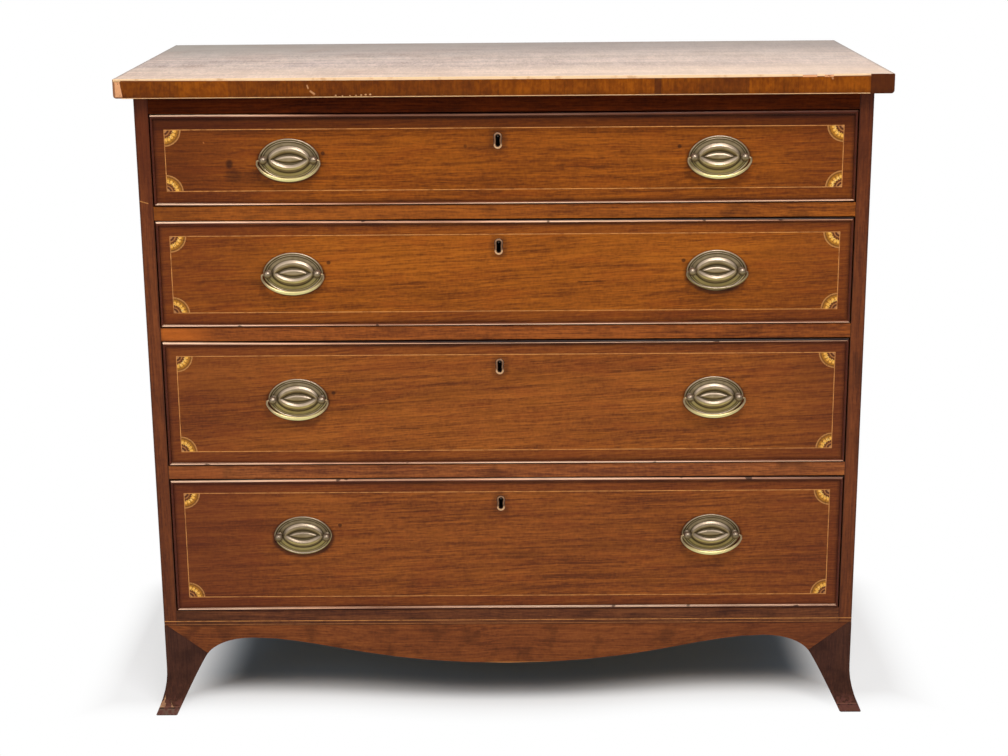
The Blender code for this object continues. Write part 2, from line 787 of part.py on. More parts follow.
def drawer_side(drawer, side, slide):
    """A drawer side: tails into the front, tails through the back, a groove for the bottom."""
    outline = [(DRAWER_END_Y, drawer.lining_low)]
    for middle, base, tip, shoulder, end in drawer.back_tails:
        if not outline[1:]:
            outline += [(end, drawer.back_low), (shoulder, drawer.back_low)]
        outline += [(shoulder, middle - base), (end, middle - tip)]
        outline += [(end, middle + tip), (shoulder, middle + base)]
    rest = drawer.back_high + SEAT_GAP
    outline += [(shoulder, rest), (end, rest), (end, drawer.lining_high)]
    outline.append((FRONT_BACK_Y, drawer.lining_high))
    for middle, base, tip, shoulder, end in reversed(drawer.front_tails):
        outline += [(shoulder, middle + base), (end, middle + tip)]
        outline += [(end, middle - tip), (shoulder, middle - base)]
    outline.append((FRONT_BACK_Y, drawer.lining_low))

    faces = sorted((side * LINING_X, side * DRAWER_X))
    piece = mesh_object(
        f"{drawer.name}_drawer_side_{'left' if side < 0 else 'right'}",
        new_prism(outline, "x", *faces),
        lining_wood(),
        slide.location,
        slide,
    )
    groove = sorted((side * (LINING_X - OVERCUT), side * (LINING_X + GROOVE_DEPTH)))
    cut = new_box(
        groove,
        (FRONT_BACK_Y - SEAT_GAP * 3, DRAWER_END_Y + OVERCUT),
        (drawer.bottom_low - SEAT_GAP, drawer.bottom_high + SEAT_GAP),
    )
    combine(piece, cut)


def drawer_box(drawer, slide):
    """The linings of one drawer: two sides, a back and a bottom."""
    for side in (-1, 1):
        drawer_side(drawer, side, slide)

    shape = new_box(
        (-DRAWER_X, DRAWER_X),
        (DRAWER_END_Y - DRAWER_BACK_THICKNESS + SEAT_GAP, DRAWER_END_Y),
        (drawer.back_low + SEAT_GAP, drawer.back_high),
    )
    back = mesh_object(
        f"{drawer.name}_drawer_back", shape, lining_wood(), slide.location, slide
    )
    sockets = bmesh.new()
    past = [
        (middle, base, tip + TAIL_SLOPE * OVERCUT, shoulder, end + OVERCUT)
        for middle, base, tip, shoulder, end in drawer.back_tails
    ]
    tail_sockets(sockets, past, 1)
    combine(back, sockets)

    outline = housed_outline(
        LINING_X - 3 * SEAT_GAP,
        GROOVE_DEPTH + 2 * SEAT_GAP,
        FRONT_BACK_Y - GROOVE_DEPTH,
        FRONT_BACK_Y + SEAT_GAP,
        DRAWER_END_Y,
    )
    panel = new_prism(outline, "z", drawer.bottom_low, drawer.bottom_high)
    mesh_object(
        f"{drawer.name}_drawer_bottom", panel, lining_wood(), slide.location, slide
    )


def drawer_lock(drawer, slide):
    """A lock let into the drawer front's back and top edges, and the bolt that slides in it."""
    half = LOCK_WIDTH / 2
    shape = new_prism(lock_outline(drawer, 0.0), "x", KEYHOLE_X - half, KEYHOLE_X + half)
    lock = mesh_object(
        f"{drawer.name}_lock_case", shape, lock_iron(), slide.location, slide
    )
    combine(lock, lock_case_box(drawer, 0.0), "UNION")
    bolt = (BOLT_WIDTH / 2, BOLT_THICKNESS / 2)
    well = new_box(
        (KEYHOLE_X - bolt[0] - SEAT_GAP, KEYHOLE_X + bolt[0] + SEAT_GAP),
        (bolt_y() - bolt[1] - SEAT_GAP, bolt_y() + bolt[1] + SEAT_GAP),
        (drawer.front_high - BOLT_HEIGHT - SEAT_GAP, drawer.front_high + OVERCUT),
    )
    combine(lock, well)
    way = keyhole_outline(drawer.keyhole)
    front = FRONT_BACK_Y - LOCK_CASE_DEPTH
    combine(lock, new_prism(way, "y", front - OVERCUT, FRONT_BACK_Y - LOCK_PLATE))

    shape = new_box(
        (KEYHOLE_X - bolt[0], KEYHOLE_X + bolt[0]),
        (bolt_y() - bolt[1], bolt_y() + bolt[1]),
        (drawer.front_high - BOLT_HEIGHT, drawer.front_high - SEAT_GAP),
    )
    mesh_object(
        f"{drawer.name}_lock_bolt",
        shape,
        brass(),
        (KEYHOLE_X, bolt_y(), drawer.front_high - BOLT_HEIGHT),
        slide,
    )


# A pull plate's moulding from its rim inwards: (width of the step, rise of the step)
PLATE_STEPS = (
    (0.0008, 0.0010),
    (0.0016, 0.0),
    (0.0012, -0.0010),
    (0.0048, 0.0024),
    (0.0026, 0.0),
    (0.0022, -0.0018),
)


def plate_mesh():
    """An oval pull plate with its two ball-headed posts, about the bail's axis."""
    shape = bmesh.new()
    bmesh.ops.create_circle(shape, cap_ends=True, radius=1, segments=PLATE_EDGES)
    back_y = POST_REACH - SEAT_GAP
    lie = Matrix.Translation((0, back_y, 0)) @ Matrix.Rotation(math.radians(90), 4, "X")
    lie = lie @ Matrix.Diagonal((PLATE_WIDTH / 2, PLATE_HEIGHT / 2, 1, 1))
    bmesh.ops.transform(shape, verts=shape.verts, matrix=lie)
    oval = shape.faces[:]
    edge = bmesh.ops.extrude_face_region(shape, geom=oval)["geom"]
    moved = [part for part in edge if isinstance(part, bmesh.types.BMVert)]
    bmesh.ops.translate(shape, verts=moved, vec=(0, -PLATE_THICKNESS, 0))
    bmesh.ops.recalc_face_normals(shape, faces=shape.faces)
    face = min(shape.faces, key=lambda each: each.calc_center_median().y)
    for width, rise in PLATE_STEPS:
        bmesh.ops.inset_region(
            shape, faces=[face], thickness=width, depth=rise, use_even_offset=True
        )
    middle = bmesh.ops.poke(shape, faces=[face])["verts"][0]
    middle.co.y -= PLATE_THICKNESS
    plate = mesh_object("pull_plate_pattern", shape, brass())

    posts = bmesh.new()
    holes = bmesh.new()
    inside = POST_REACH + FRONT_THICKNESS + SEAT_GAP
    for side in (-1, 1):
        centre = (side * POST_SPACING / 2, 0, 0)
        neck = math.sqrt(BALL_RADIUS**2 - POST_RADIUS**2)
        profile = [(0, -BALL_RADIUS)]
        for angle in map(math.radians, BALL_ANGLES):
            profile.append((BALL_RADIUS * math.sin(angle), -BALL_RADIUS * math.cos(angle)))
        profile += [
            (POST_RADIUS, neck),
            (POST_RADIUS, back_y - POST_COLLAR_HEIGHT - POST_COLLAR_ROUND),
            (POST_COLLAR_RADIUS, back_y - POST_COLLAR_HEIGHT),
            (POST_COLLAR_RADIUS, back_y - PLATE_THICKNESS / 2),
            (ROD_RADIUS, back_y - PLATE_THICKNESS / 2),
            (ROD_RADIUS, inside),
            (NUT_RADIUS, inside),
            (NUT_RADIUS, inside + NUT_THICKNESS),
            (0, inside + NUT_THICKNESS),
        ]
        turned(posts, profile, centre, "y", ROUND_EDGES)
        drill = sorted((side * (BALL_RADIUS - PIN_DEPTH - SEAT_GAP), side * 2 * BALL_RADIUS))
        rod(holes, centre, "x", PIN_RADIUS + PIN_CLEARANCE, *drill)
    union = combine(plate, posts, "UNION")
    cut = combine(plate, holes)
    bpy.context.view_layer.update()
    made = plate.evaluated_get(bpy.context.evaluated_depsgraph_get())
    mesh = bpy.data.meshes.new_from_object(made)
    mesh.name = "pull_plate"
    mesh.shade_smooth()
    mesh.set_sharp_from_angle(angle=math.radians(SMOOTH_ANGLE))
    for helper in (plate, union, cut):
        bpy.data.objects.remove(helper, do_unlink=True)
    return mesh


def bail_curve(name, width, drop, grip_radius):
    """A drop bail about its axis: pins into the posts, swelling to the grip at the bottom."""
    curve = bpy.data.curves.new(name, "CURVE")
    curve.dimensions = "3D"
    curve.bevel_depth = 1.0
    curve.bevel_resolution = 2
    curve.use_fill_caps = True
    half = width / 2 - BAIL_END_RADIUS
    pin = POST_SPACING / 2 + BALL_RADIUS - PIN_DEPTH
    sweep = 180 - 2 * BAIL_FIRST_ANGLE
    arm = []
    for step in range(BAIL_STEPS + 1):
        angle = math.radians(BAIL_FIRST_ANGLE + sweep * step / BAIL_STEPS)
        radius = BAIL_END_RADIUS
        radius += (grip_radius - BAIL_END_RADIUS) * math.sin(angle) ** 2
        arm.append((half * math.cos(angle), -drop * math.sin(angle), radius))
    inset = BAIL_ELBOW_RADIUS * (1 - math.cos(math.radians(45)))
    elbow = (half - BAIL_ELBOW_RADIUS, 0, PIN_RADIUS)
    start = [(pin, 0, PIN_RADIUS), elbow, (half - inset, -inset, BAIL_END_RADIUS)]
    ending = [(-x, z, radius) for x, z, radius in reversed(start)]
    points = start + arm + ending
    spline = curve.splines.new("POLY")
    spline.points.add(len(points) - 1)
    for point, (x, z, radius) in zip(spline.points, points):
        point.co = (x, 0, z, 1)
        point.radius = radius
    return curve


def build_pulls(drawer, slide, plate, bail, slim_bail):
    """Two pulls to a drawer. One pull has a slimmer bail than the rest, and one has lost its bail."""
    axis_y = FRONT_Y - POST_REACH
    for label, pull in (("left", -PULL_X), ("right", PULL_X)):
        place = (pull, axis_y, drawer.pull)
        add_object(f"{drawer.name}_pull_plate_{label}", plate, brass(), place, slide)
        which = f"{drawer.name}_{label}"
        if which != BARE_PULL:
            swung = slim_bail if which == SLIM_BAIL_PULL else bail
            add_object(f"{drawer.name}_bail_{label}", swung, brass(), place, slide)


def build_drawers():
    plate = plate_mesh()
    bail = bail_curve("bail", BAIL_WIDTH, BAIL_DROP, BAIL_GRIP_RADIUS)
    slim_bail = bail_curve(
        "slim_bail", SLIM_BAIL_WIDTH, SLIM_BAIL_DROP, SLIM_BAIL_GRIP_RADIUS
    )
    for (name, height, pull_drop), floor in zip(OPENINGS, FLOORS):
        drawer = DrawerSizes(name, floor, height, pull_drop)
        slide = bpy.data.objects.new(f"{name}_drawer_slide", None)
        bpy.context.scene.collection.objects.link(slide)
        slide.location = (0, FRONT_Y, drawer.front_low)
        drawer_front(drawer, slide)
        drawer_box(drawer, slide)
        drawer_lock(drawer, slide)
        build_pulls(drawer, slide, plate, bail, slim_bail)


def main():
    clear_scene()
    build_top()
    build_side("side_left", -1)
    build_side("side_right", 1)
    build_back()
    build_rails()
    build_aprons()
    for label, side in (("left", -1), ("right", 1)):
        build_foot(f"foot_front_{label}", side, -1)
        build_foot(f"foot_rear_{label}", side, 1)
    build_drawers()


main()
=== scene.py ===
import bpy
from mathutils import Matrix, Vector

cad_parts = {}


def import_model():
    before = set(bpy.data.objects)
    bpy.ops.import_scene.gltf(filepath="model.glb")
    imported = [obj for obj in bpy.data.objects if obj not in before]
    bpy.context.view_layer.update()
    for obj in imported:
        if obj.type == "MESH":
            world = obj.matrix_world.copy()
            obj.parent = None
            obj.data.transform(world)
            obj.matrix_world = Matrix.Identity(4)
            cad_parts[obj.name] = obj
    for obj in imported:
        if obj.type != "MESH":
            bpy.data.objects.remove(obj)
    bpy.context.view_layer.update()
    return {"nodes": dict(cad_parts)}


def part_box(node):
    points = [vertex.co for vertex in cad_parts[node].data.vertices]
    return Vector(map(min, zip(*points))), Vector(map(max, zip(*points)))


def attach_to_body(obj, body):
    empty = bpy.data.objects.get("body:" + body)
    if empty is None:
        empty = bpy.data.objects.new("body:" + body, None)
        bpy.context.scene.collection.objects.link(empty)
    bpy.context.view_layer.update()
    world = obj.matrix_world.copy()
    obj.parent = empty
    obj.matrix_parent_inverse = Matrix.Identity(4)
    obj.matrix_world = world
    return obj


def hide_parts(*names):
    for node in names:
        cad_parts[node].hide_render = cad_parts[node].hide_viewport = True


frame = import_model()

import math

import bmesh
import bpy
from mathutils import Matrix, Vector

bl_info = {
    "name": "Inlaid chest of drawers",
    "version": (1, 0, 0),
    "blender": (4, 5, 0),
    "location": "3D View > Sidebar > Chest",
    "description": "Dresses the packed chest: veneer, inlay, beads, brasses and wear",
    "category": "Object",
}

# The pieces of the chest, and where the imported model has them

DRAWERS = ("top", "second", "third", "bottom")
SIDES = {"left": -1, "right": 1}
BARE_PULL = "bottom_left"
SLIM_PULL = "second_right"
FRONTS = {name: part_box(f"{name}_drawer_front") for name in DRAWERS}
PLATES = {
    f"{name}_{side}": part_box(f"{name}_pull_plate_{side}")
    for name in DRAWERS
    for side in SIDES
}
PULLS = {name: (high + low) / 2 for name, (low, high) in PLATES.items()}
FRONT_X = FRONTS["top"][1].x
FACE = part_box("side_left")[0].y
FRONT_BACK = FACE + 0.020
CASE_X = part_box("side_right")[1].x
TOP_LOW, TOP_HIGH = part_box("top_board")

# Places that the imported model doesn't name, in metres

AXIS_Y = FACE - 0.0105
KEYHOLE_X = -0.008
KEYHOLE_Z = {"top": 0.8357, "second": 0.6900, "third": 0.5202, "bottom": 0.3190}
POST_X = 0.034
BALL_RADIUS = 0.0058
SUNK = 0.0008
TOE_CUFF = 0.0105
STRIPS_END = 0.4880

# How close corners are when picked by their place, and when merged

NEAR = 0.0001
SAME = 0.000002

# The grain's place and slope in each drawer's veneer

DRAWER_SEED = {"top": 1.0, "second": 2.3, "third": 3.7, "bottom": 5.1}
DRAWER_LEAN = {"top": -0.01, "second": -0.05, "third": -0.06, "bottom": -0.03}


def screen(red, green, blue):
    """A colour read off a screen, 0 to 255, as the linear colour that a shader takes."""
    def linear(value):
        value /= 255
        return value / 12.92 if value <= 0.04045 else ((value + 0.055) / 1.055) ** 2.4
    return (linear(red), linear(green), linear(blue))


def scaled(colour, factor):
    return tuple(channel * factor for channel in colour)


def scaled_by(colour, factors):
    return tuple(channel * factor for channel, factor in zip(colour, factors))


# Sizes and colours that a user would change


def length(name, description, default):
    return bpy.props.FloatProperty(
        name=name, description=description, default=default, min=0.0, unit="LENGTH"
    )


def colour(name, description, *tone):
    return bpy.props.FloatVectorProperty(
        name=name,
        description=description,
        default=screen(*tone),
        min=0.0,
        max=1.0,
        subtype="COLOR",
        size=3,
    )


class ChestSizes(bpy.types.PropertyGroup):
    bead_width: length("Bead width", "Width of the bead round each drawer", 0.0036)
    bead_proud: length("Bead height", "How far the bead stands in front", 0.0031)
    bead_spread: length("Bead spread", "How far the upper bead laps its gap", 0.0018)
    string_width: length("String width", "Width of the light lines", 0.0010)
    string_proud: length("String height", "How far an inlay stands proud", 0.00012)
    string_x: length("String half width", "From the middle to the upright lines", 0.4588)
    string_drop: length("String drop", "From a drawer's upper edge to its line", 0.0179)
    string_rise: length("String rise", "From a drawer's lower edge to its line", 0.0190)
    fan_radius: length("Fan radius", "Radius of a quarter fan", 0.0230)
    liner_width: length("Liner width", "Width of a keyhole liner's rim", 0.0023)
    plate_width: length("Plate width", "Width of an oval plate", 0.083)
    plate_height: length("Plate height", "Height of an oval plate", 0.057)
    bail_width: length("Bail width", "Width of a bail over its arms", 0.089)
    bail_drop: length("Bail drop", "From the posts down to a bail's grip", 0.0265)
    bail_grip: length("Bail grip", "Radius of a bail at its grip", 0.0030)
    slim_bail_width: length("Slim bail width", "Width of the odd bail", 0.0868)
    slim_bail_drop: length("Slim bail drop", "Drop of the odd bail", 0.0235)
    slim_bail_grip: length("Slim bail grip", "Radius of the odd bail's grip", 0.0019)
    top_string: length("Top string", "Height of the line on the top's upper edge", 0.0040)


class ChestColours(bpy.types.PropertyGroup):
    mahogany: colour("Mahogany", "The drawers' veneer", 143, 76, 17)
    mahogany_dark: colour("Dark streaks", "Dark flecks on the light lines", 100, 44, 14)
    mahogany_light: colour("Light streaks", "Rubbed and scratched places", 176, 106, 52)
    case: colour("Case", "The case's uprights and sides", 105, 52, 23)
    apron: colour("Apron", "The curved apron", 117, 61, 26)
    foot: colour("Foot", "The worn feet", 69, 38, 26)
    top: colour("Top", "The faded top", 190, 166, 152)
    boxwood: colour("Boxwood", "The light string lines", 208, 140, 74)
    pine: colour("Pine", "Drawer linings and the inside", 196, 158, 108)
    brass: colour("Brass", "Worn brass", 166, 146, 112)
    tarnish: colour("Tarnish", "Brass in the hollows", 78, 62, 34)
    iron: colour("Iron", "The locks", 92, 86, 80)
    # This colour is old dirt, and also painted shade in the gaps, along the beads and
    # round the plates
    grime_and_shade: colour("Grime", "Old polish and dirt in the corners", 34, 14, 8)


# Shader expressions

POLISH_IOR = 1.45
GRAIN_LIFT = 0.00004


class Field:
    """What varies over a surface. Arithmetic on it adds Math nodes to its finish."""

    def __init__(self, finish, socket):
        self.finish = finish
        self.socket = socket

    def math(self, operation, *terms):
        inputs = dict(enumerate(terms))
        return self.finish.node("ShaderNodeMath", inputs, operation=operation)

    def __add__(self, other):
        return self.math("ADD", self, other)

    def __radd__(self, other):
        return self.math("ADD", other, self)

    def __sub__(self, other):
        return self.math("SUBTRACT", self, other)

    def __rsub__(self, other):
        return self.math("SUBTRACT", other, self)

    def __mul__(self, other):
        return self.math("MULTIPLY", self, other)

    def __rmul__(self, other):
        return self.math("MULTIPLY", other, self)

    def __truediv__(self, other):
        return self.math("DIVIDE", self, other)

    def __rtruediv__(self, other):
        return self.math("DIVIDE", other, self)

    def __pow__(self, other):
        return self.math("POWER", self, other)

    def __neg__(self):
        return self.math("MULTIPLY", self, -1.0)

    def __abs__(self):
        return self.math("ABSOLUTE", self)

    def least(self, other):
        return self.math("MINIMUM", self, other)

    def most(self, other):
        return self.math("MAXIMUM", self, other)

    def angle(self, other):
        return self.math("ARCTAN2", self, other)

    def step(self, low, high, start=0.0, end=1.0):
        """A smooth step: start where the field is low, and end where it is high."""
        inputs = {0: self, 1: low, 2: high, 3: start, 4: end}
        return self.finish.node(
            "ShaderNodeMapRange", inputs, interpolation_type="SMOOTHSTEP"
        )


class Finish:
    """One material, laid on in coats that are put together from expressions on fields."""

    def __init__(self, name, tree=None):
        self.material = self.shown = None
        if tree is None:
            self.material = bpy.data.materials.new(name)
            self.material.use_nodes = True
            tree = self.material.node_tree
        self.tree = tree
        self.tree.nodes.clear()
        self.place = self.node("ShaderNodeTexCoord", output="Object")
        self.xyz = self.split(self.place)

    def node(self, kind, inputs=None, output=0, stops=None, **settings):
        """One node: its settings first, then its sockets' values or links."""
        made = self.tree.nodes.new(kind)
        for name, value in settings.items():
            setattr(made, name, value)
        for index, (position, tone) in enumerate(stops or ()):
            elements = made.color_ramp.elements
            element = elements[index] if index < 2 else elements.new(position)
            element.position = position
            element.color = (*tone, 1.0)
        for key, value in (inputs or {}).items():
            socket = made.inputs[key]
            if isinstance(value, Field):
                self.tree.links.new(value.socket, socket)
            elif socket.type == "RGBA":
                socket.default_value = (*value[:3], 1.0)
            else:
                socket.default_value = value
        return Field(self, made.outputs[output])

    def split(self, vector):
        parts = self.node("ShaderNodeSeparateXYZ", {0: vector}).socket.node.outputs
        return tuple(Field(self, part) for part in parts)

    def written(self, name):
        """A value that the mesh carries on its corners or faces."""
        return self.node("ShaderNodeAttribute", attribute_name=name, output="Fac")

    def ray(self, kind):
        return self.node("ShaderNodeLightPath", output=f"Is {kind} Ray")

    def noise(self, cycles, detail, seed, source=None):
        """Clouds about 0.5, with so many cycles to a metre, or along x, y and z."""
        if not isinstance(cycles, tuple):
            cycles = (cycles, cycles, cycles)
        shift = (seed * 1.7, seed * 3.1, seed * 5.3)
        vector = self.node(
            "ShaderNodeVectorMath",
            {0: source or self.place, 1: cycles, 2: shift},
            operation="MULTIPLY_ADD",
        )
        return self.node(
            "ShaderNodeTexNoise", {"Vector": vector, "Scale": 1.0, "Detail": detail}
        )

    def leaning(self, slope):
        """The place, slid upwards the further it is to the right."""
        x, y, z = self.xyz
        return self.node("ShaderNodeCombineXYZ", {0: x, 1: y, 2: z - x * slope})

    def mix(self, factor, first, second, blend="MIX"):
        inputs = {0: factor, 6: first, 7: second}
        return self.node(
            "ShaderNodeMix", inputs, output=2, data_type="RGBA", blend_type=blend
        )

    def coat(self, mask, tone, blend="MIX"):
        """Lays a tone over what is shown, as thick as the mask says."""
        self.shown = self.mix(mask, self.shown, tone, blend)

    def spot(self, x, z, radius, stretch, soft):
        """1 inside an oval on the front, x and z in metres, falling to 0 round it."""
        across = (self.xyz[0] - x) / (radius * stretch)
        up = (self.xyz[2] - z) / radius
        return (across * across + up * up).step(1.0 + soft, 1.0 - soft)

    def stroke(self, start, end, width):
        """1 along a straight scratch on the front between two points."""
        run = (end[0] - start[0], end[1] - start[1])
        reach = math.hypot(*run)
        run = (run[0] / reach, run[1] / reach)
        x, z = self.xyz[0] - start[0], self.xyz[2] - start[1]
        along = x * run[0] + z * run[1]
        inside = along.step(0.0, 0.002) * along.step(reach, reach - 0.002)
        return abs(x * run[1] - z * run[0]).step(width, width * 0.4) * inside

    def wood(
        self, middle, axis, seed, contrast=1.0, spread=0.5, wander=0.02, lean=0.0
    ):
        """Figured wood: its colour, and the height of its open pores."""
        def clouds(run, across, detail, shift, source=None):
            cycles = along_grain(axis, run, across)
            return self.noise(cycles, detail, seed + shift, source)

        sway = (clouds(2.5, 7, 2, 0) - 0.5) * wander
        slip = sway + self.xyz["xyz".index(axis)] * lean
        offsets = {"x": (0, sway, slip), "y": (sway, 0, slip), "z": (slip, sway, 0)}
        offset = self.node("ShaderNodeCombineXYZ", dict(enumerate(offsets[axis])))
        bent = self.node(
            "ShaderNodeVectorMath", {0: self.place, 1: offset}, operation="ADD"
        )
        fibres = clouds(60, 700, 2, 4, bent)
        layers = (
            (clouds(1.2, 15, 2, 1, bent), 0.5),
            (clouds(3.5, 120, 3, 2, bent), 0.6),
            (clouds(7, 420, 2, 3, bent), 1.1),
            (fibres, 1.0),
            (clouds(300, 190, 1, 5, bent), 0.4),
            (clouds(9, 12, 2, 7), 0.3),
        )
        tone = 0.0
        for layer, share in layers:
            tone = (layer - 0.5) * (share * contrast) + tone
        dark, middle, light = tones_of(middle, spread)
        shown = self.node(
            "ShaderNodeValToRGB",
            {0: tone + 0.5},
            stops=[(0.05, dark), (0.95, light), (0.5, middle)],
        )
        pores = clouds(75, 900, 1, 6, bent).step(0.60, 0.72)
        return self.mix(pores * 0.35, shown, scaled(dark, 0.5)), fibres * 0.5 - pores

    def paint(self, mask, *tone):
        """A coat of a colour that was read off a screen."""
        self.coat(mask, screen(*tone))

    def stain(self, cycles, detail, seed, low, high, share, tone):
        """Lays a tone where new clouds are thick, and hands the clouds on."""
        clouds = self.noise(cycles, detail, seed)
        self.coat(clouds.step(low, high) * share, tone)
        return clouds

    def behind(self, colours, seed, start, end):
        """Painted shade in the gap behind the face, and pine on what lies inside the
        case.
        """
        y = self.xyz[1]
        self.coat(y.step(FACE + 0.0003, FACE + 0.0006), colours.grime_and_shade)
        pine, _ = self.wood(colours.pine, "x", seed, 0.6, 0.2)
        inside = y.step(FRONT_BACK - start, FRONT_BACK - end)
        self.coat(inside, pine)
        return inside

    def shade(self, roughness, polish=None, bump=None, lift=0.0, **constants):
        """Ends the material with its shader, whose own sockets take the constants."""
        inputs = {"Base Color": self.shown, "Roughness": roughness}
        if polish is not None:
            inputs.update({"IOR": POLISH_IOR, "Specular IOR Level": polish})
        inputs.update({key.replace("_", " "): value for key, value in constants.items()})
        if bump is not None:
            relief = {"Strength": 1.0, "Distance": lift, "Height": bump}
            inputs["Normal"] = self.node("ShaderNodeBump", relief)
        self.finished(self.node("ShaderNodeBsdfPrincipled", inputs))
        return self.material

    def finished(self, shader, kind="ShaderNodeOutputMaterial"):
        made = self.tree.nodes.new(kind)
        self.tree.links.new(shader.socket, made.inputs["Surface"])


def along_grain(axis, run, across):
    """Cycles to a metre: few along the grain's axis, many across it."""
    return tuple(run if name == axis else across for name in "xyz")


def tones_of(middle, spread):
    """Dark, middle and light tones of one wood."""
    dark = scaled_by(middle, (1 - spread, 1 - spread * 1.1, 1 - spread * 0.7))
    light = scaled_by(middle, (1 + spread, 1 + spread * 1.2, 1 + spread))
    return dark, tuple(middle), light


# Modelling helpers


def begin():
    """Nothing selected, and nothing being edited."""
    if bpy.context.object and bpy.context.object.mode != "OBJECT":
        bpy.ops.object.mode_set(mode="OBJECT")
    bpy.ops.object.select_all(action="DESELECT")


def focus(piece, mode="OBJECT"):
    begin()
    piece.select_set(True)
    bpy.context.view_layer.objects.active = piece
    bpy.ops.object.mode_set(mode=mode)


def named(piece, name):
    piece.name = piece.data.name = name
    return piece


def started(name):
    """The primitive that was just added, named and open for editing."""
    piece = named(bpy.context.object, name)
    bpy.ops.object.mode_set(mode="EDIT")
    bpy.ops.mesh.select_all(action="SELECT")
    return piece


def stretch(size, centre):
    """Scales what is selected about a centre."""
    bpy.ops.transform.resize(value=tuple(size), center_override=tuple(centre))


def move(x=0.0, y=0.0, z=0.0):
    bpy.ops.transform.translate(value=(x, y, z))


def push(y):
    """Extrudes what is selected, forwards or backwards."""
    bpy.ops.mesh.extrude_region_move(TRANSFORM_OT_translate={"value": (0, y, 0)})


def sheet(name, x_run, z_run, y):
    """A flat sheet that faces the front, from its ends along x and along z."""
    (left, right), (low, high) = x_run, z_run
    place = ((left + right) / 2, y, (low + high) / 2)
    begin()
    bpy.ops.mesh.primitive_plane_add(
        size=1, location=place, rotation=(math.radians(90), 0, 0)
    )
    piece = started(name)
    stretch((right - left, 1, high - low), place)
    return piece


def disc(name, centre, half_width, half_height, corners=96):
    """An oval sheet that faces the front."""
    begin()
    bpy.ops.mesh.primitive_circle_add(
        vertices=corners,
        radius=1,
        fill_type="NGON",
        location=centre,
        rotation=(math.radians(90), 0, 0),
    )
    piece = started(name)
    stretch((half_width, 1, half_height), centre)
    return piece


def world(vertex):
    """Where a corner of the open piece stands in the frame."""
    return bpy.context.object.matrix_world @ vertex.co


def pick(kind, wanted):
    """Selects what passes the test, among the open piece's faces, edges or vertices."""
    bpy.ops.mesh.select_mode(type=kind)
    bpy.ops.mesh.select_all(action="DESELECT")
    shape = bmesh.from_edit_mesh(bpy.context.object.data)
    for part in {"VERT": shape.verts, "EDGE": shape.edges, "FACE": shape.faces}[kind]:
        if wanted(part):
            part.select_set(True)
    shape.select_flush_mode()
    bmesh.update_edit_mesh(bpy.context.object.data)


def turn_rings(centre, rows, point=None):
    """Extrudes the open oval through rows of half width, half height, y and hollow."""
    width, height, y, _ = rows[0]
    sharp = point(width) if point else 0.0
    squeeze(centre, width, sharp)
    mark(rows[0][3])
    for next_width, next_height, next_y, hollow in rows[1:]:
        push(next_y - y)
        stretch((next_width / width, 1, next_height / height), centre)
        if point:
            squeeze(centre, next_width, point(next_width) - sharp)
            sharp = point(next_width)
        mark(hollow)
        width, height, y = next_width, next_height, next_y


def squeeze(centre, half_width, power):
    """Draws the selected oval's ends in towards points."""
    piece = bpy.context.object
    shape = bmesh.from_edit_mesh(piece.data)
    back = piece.matrix_world.inverted()
    for vertex in shape.verts:
        if vertex.select:
            place = world(vertex) - centre
            waist = max(0.0001, 1 - (place.x / half_width) ** 2) ** 0.5
            place.z *= waist ** power
            vertex.co = back @ (place + centre)
    bmesh.update_edit_mesh(piece.data)


def mark(hollow):
    """Writes how deep in a hollow the selected corners lie, which the tarnish reads."""
    shape = bmesh.from_edit_mesh(bpy.context.object.data)
    layers = shape.verts.layers.float
    layer = layers.get("hollow") or layers.new("hollow")
    for vertex in shape.verts:
        if vertex.select:
            vertex[layer] = hollow
    bmesh.update_edit_mesh(bpy.context.object.data)


def write(piece, name, domain, values):
    """Writes a value for a finish to read on each of the piece's corners or faces."""
    piece.data.attributes.new(name, "FLOAT", domain).data.foreach_set("value", values)


def modify(piece, kind, **settings):
    """Adds a modifier to the finished mesh and applies it."""
    focus(piece)
    added = piece.modifiers.new(kind.title(), kind)
    for name, value in settings.items():
        setattr(added, name, value)
    bpy.ops.object.modifier_apply(modifier=added.name)


def thicken(piece, depth=SUNK):
    """Gives a sheet that faces the front a depth behind it."""
    modify(piece, "SOLIDIFY", thickness=depth, offset=-1)


def settle(piece, smooth=35.0):
    """Closes the seams, turns the faces outwards and puts the place in the mesh."""
    focus(piece, "EDIT")
    bpy.ops.mesh.select_all(action="SELECT")
    bpy.ops.mesh.remove_doubles(threshold=SAME)
    bpy.ops.mesh.normals_make_consistent(inside=False)
    bpy.ops.object.mode_set(mode="OBJECT")
    bpy.ops.object.transform_apply(location=True, rotation=True, scale=True)
    bpy.ops.object.shade_smooth_by_angle(angle=math.radians(smooth))
    return piece


def copied(piece, name, offset):
    """A copy with its own mesh, moved into place."""
    focus(piece)
    bpy.ops.object.duplicate()
    twin = named(bpy.context.object, name)
    move(*offset)
    bpy.ops.object.transform_apply(location=True, rotation=True, scale=True)
    return twin


def attach(piece, body, slot, finish, *nodes):
    """Gives the piece its finish, its body and the nodes that it stands for. Its slot is
    not used.
    """
    found = bpy.data.materials.get(finish)
    if found is None:
        raise RuntimeError(f"the finish {finish} isn't made yet")
    piece.data.materials.clear()
    piece.data.materials.append(found)
    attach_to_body(piece, body)
    if nodes:
        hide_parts(*nodes)


def dress(node, finish):
    """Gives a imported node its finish."""
    for slot in frame["nodes"][node].material_slots:
        slot.link = "OBJECT"
        slot.material = finish
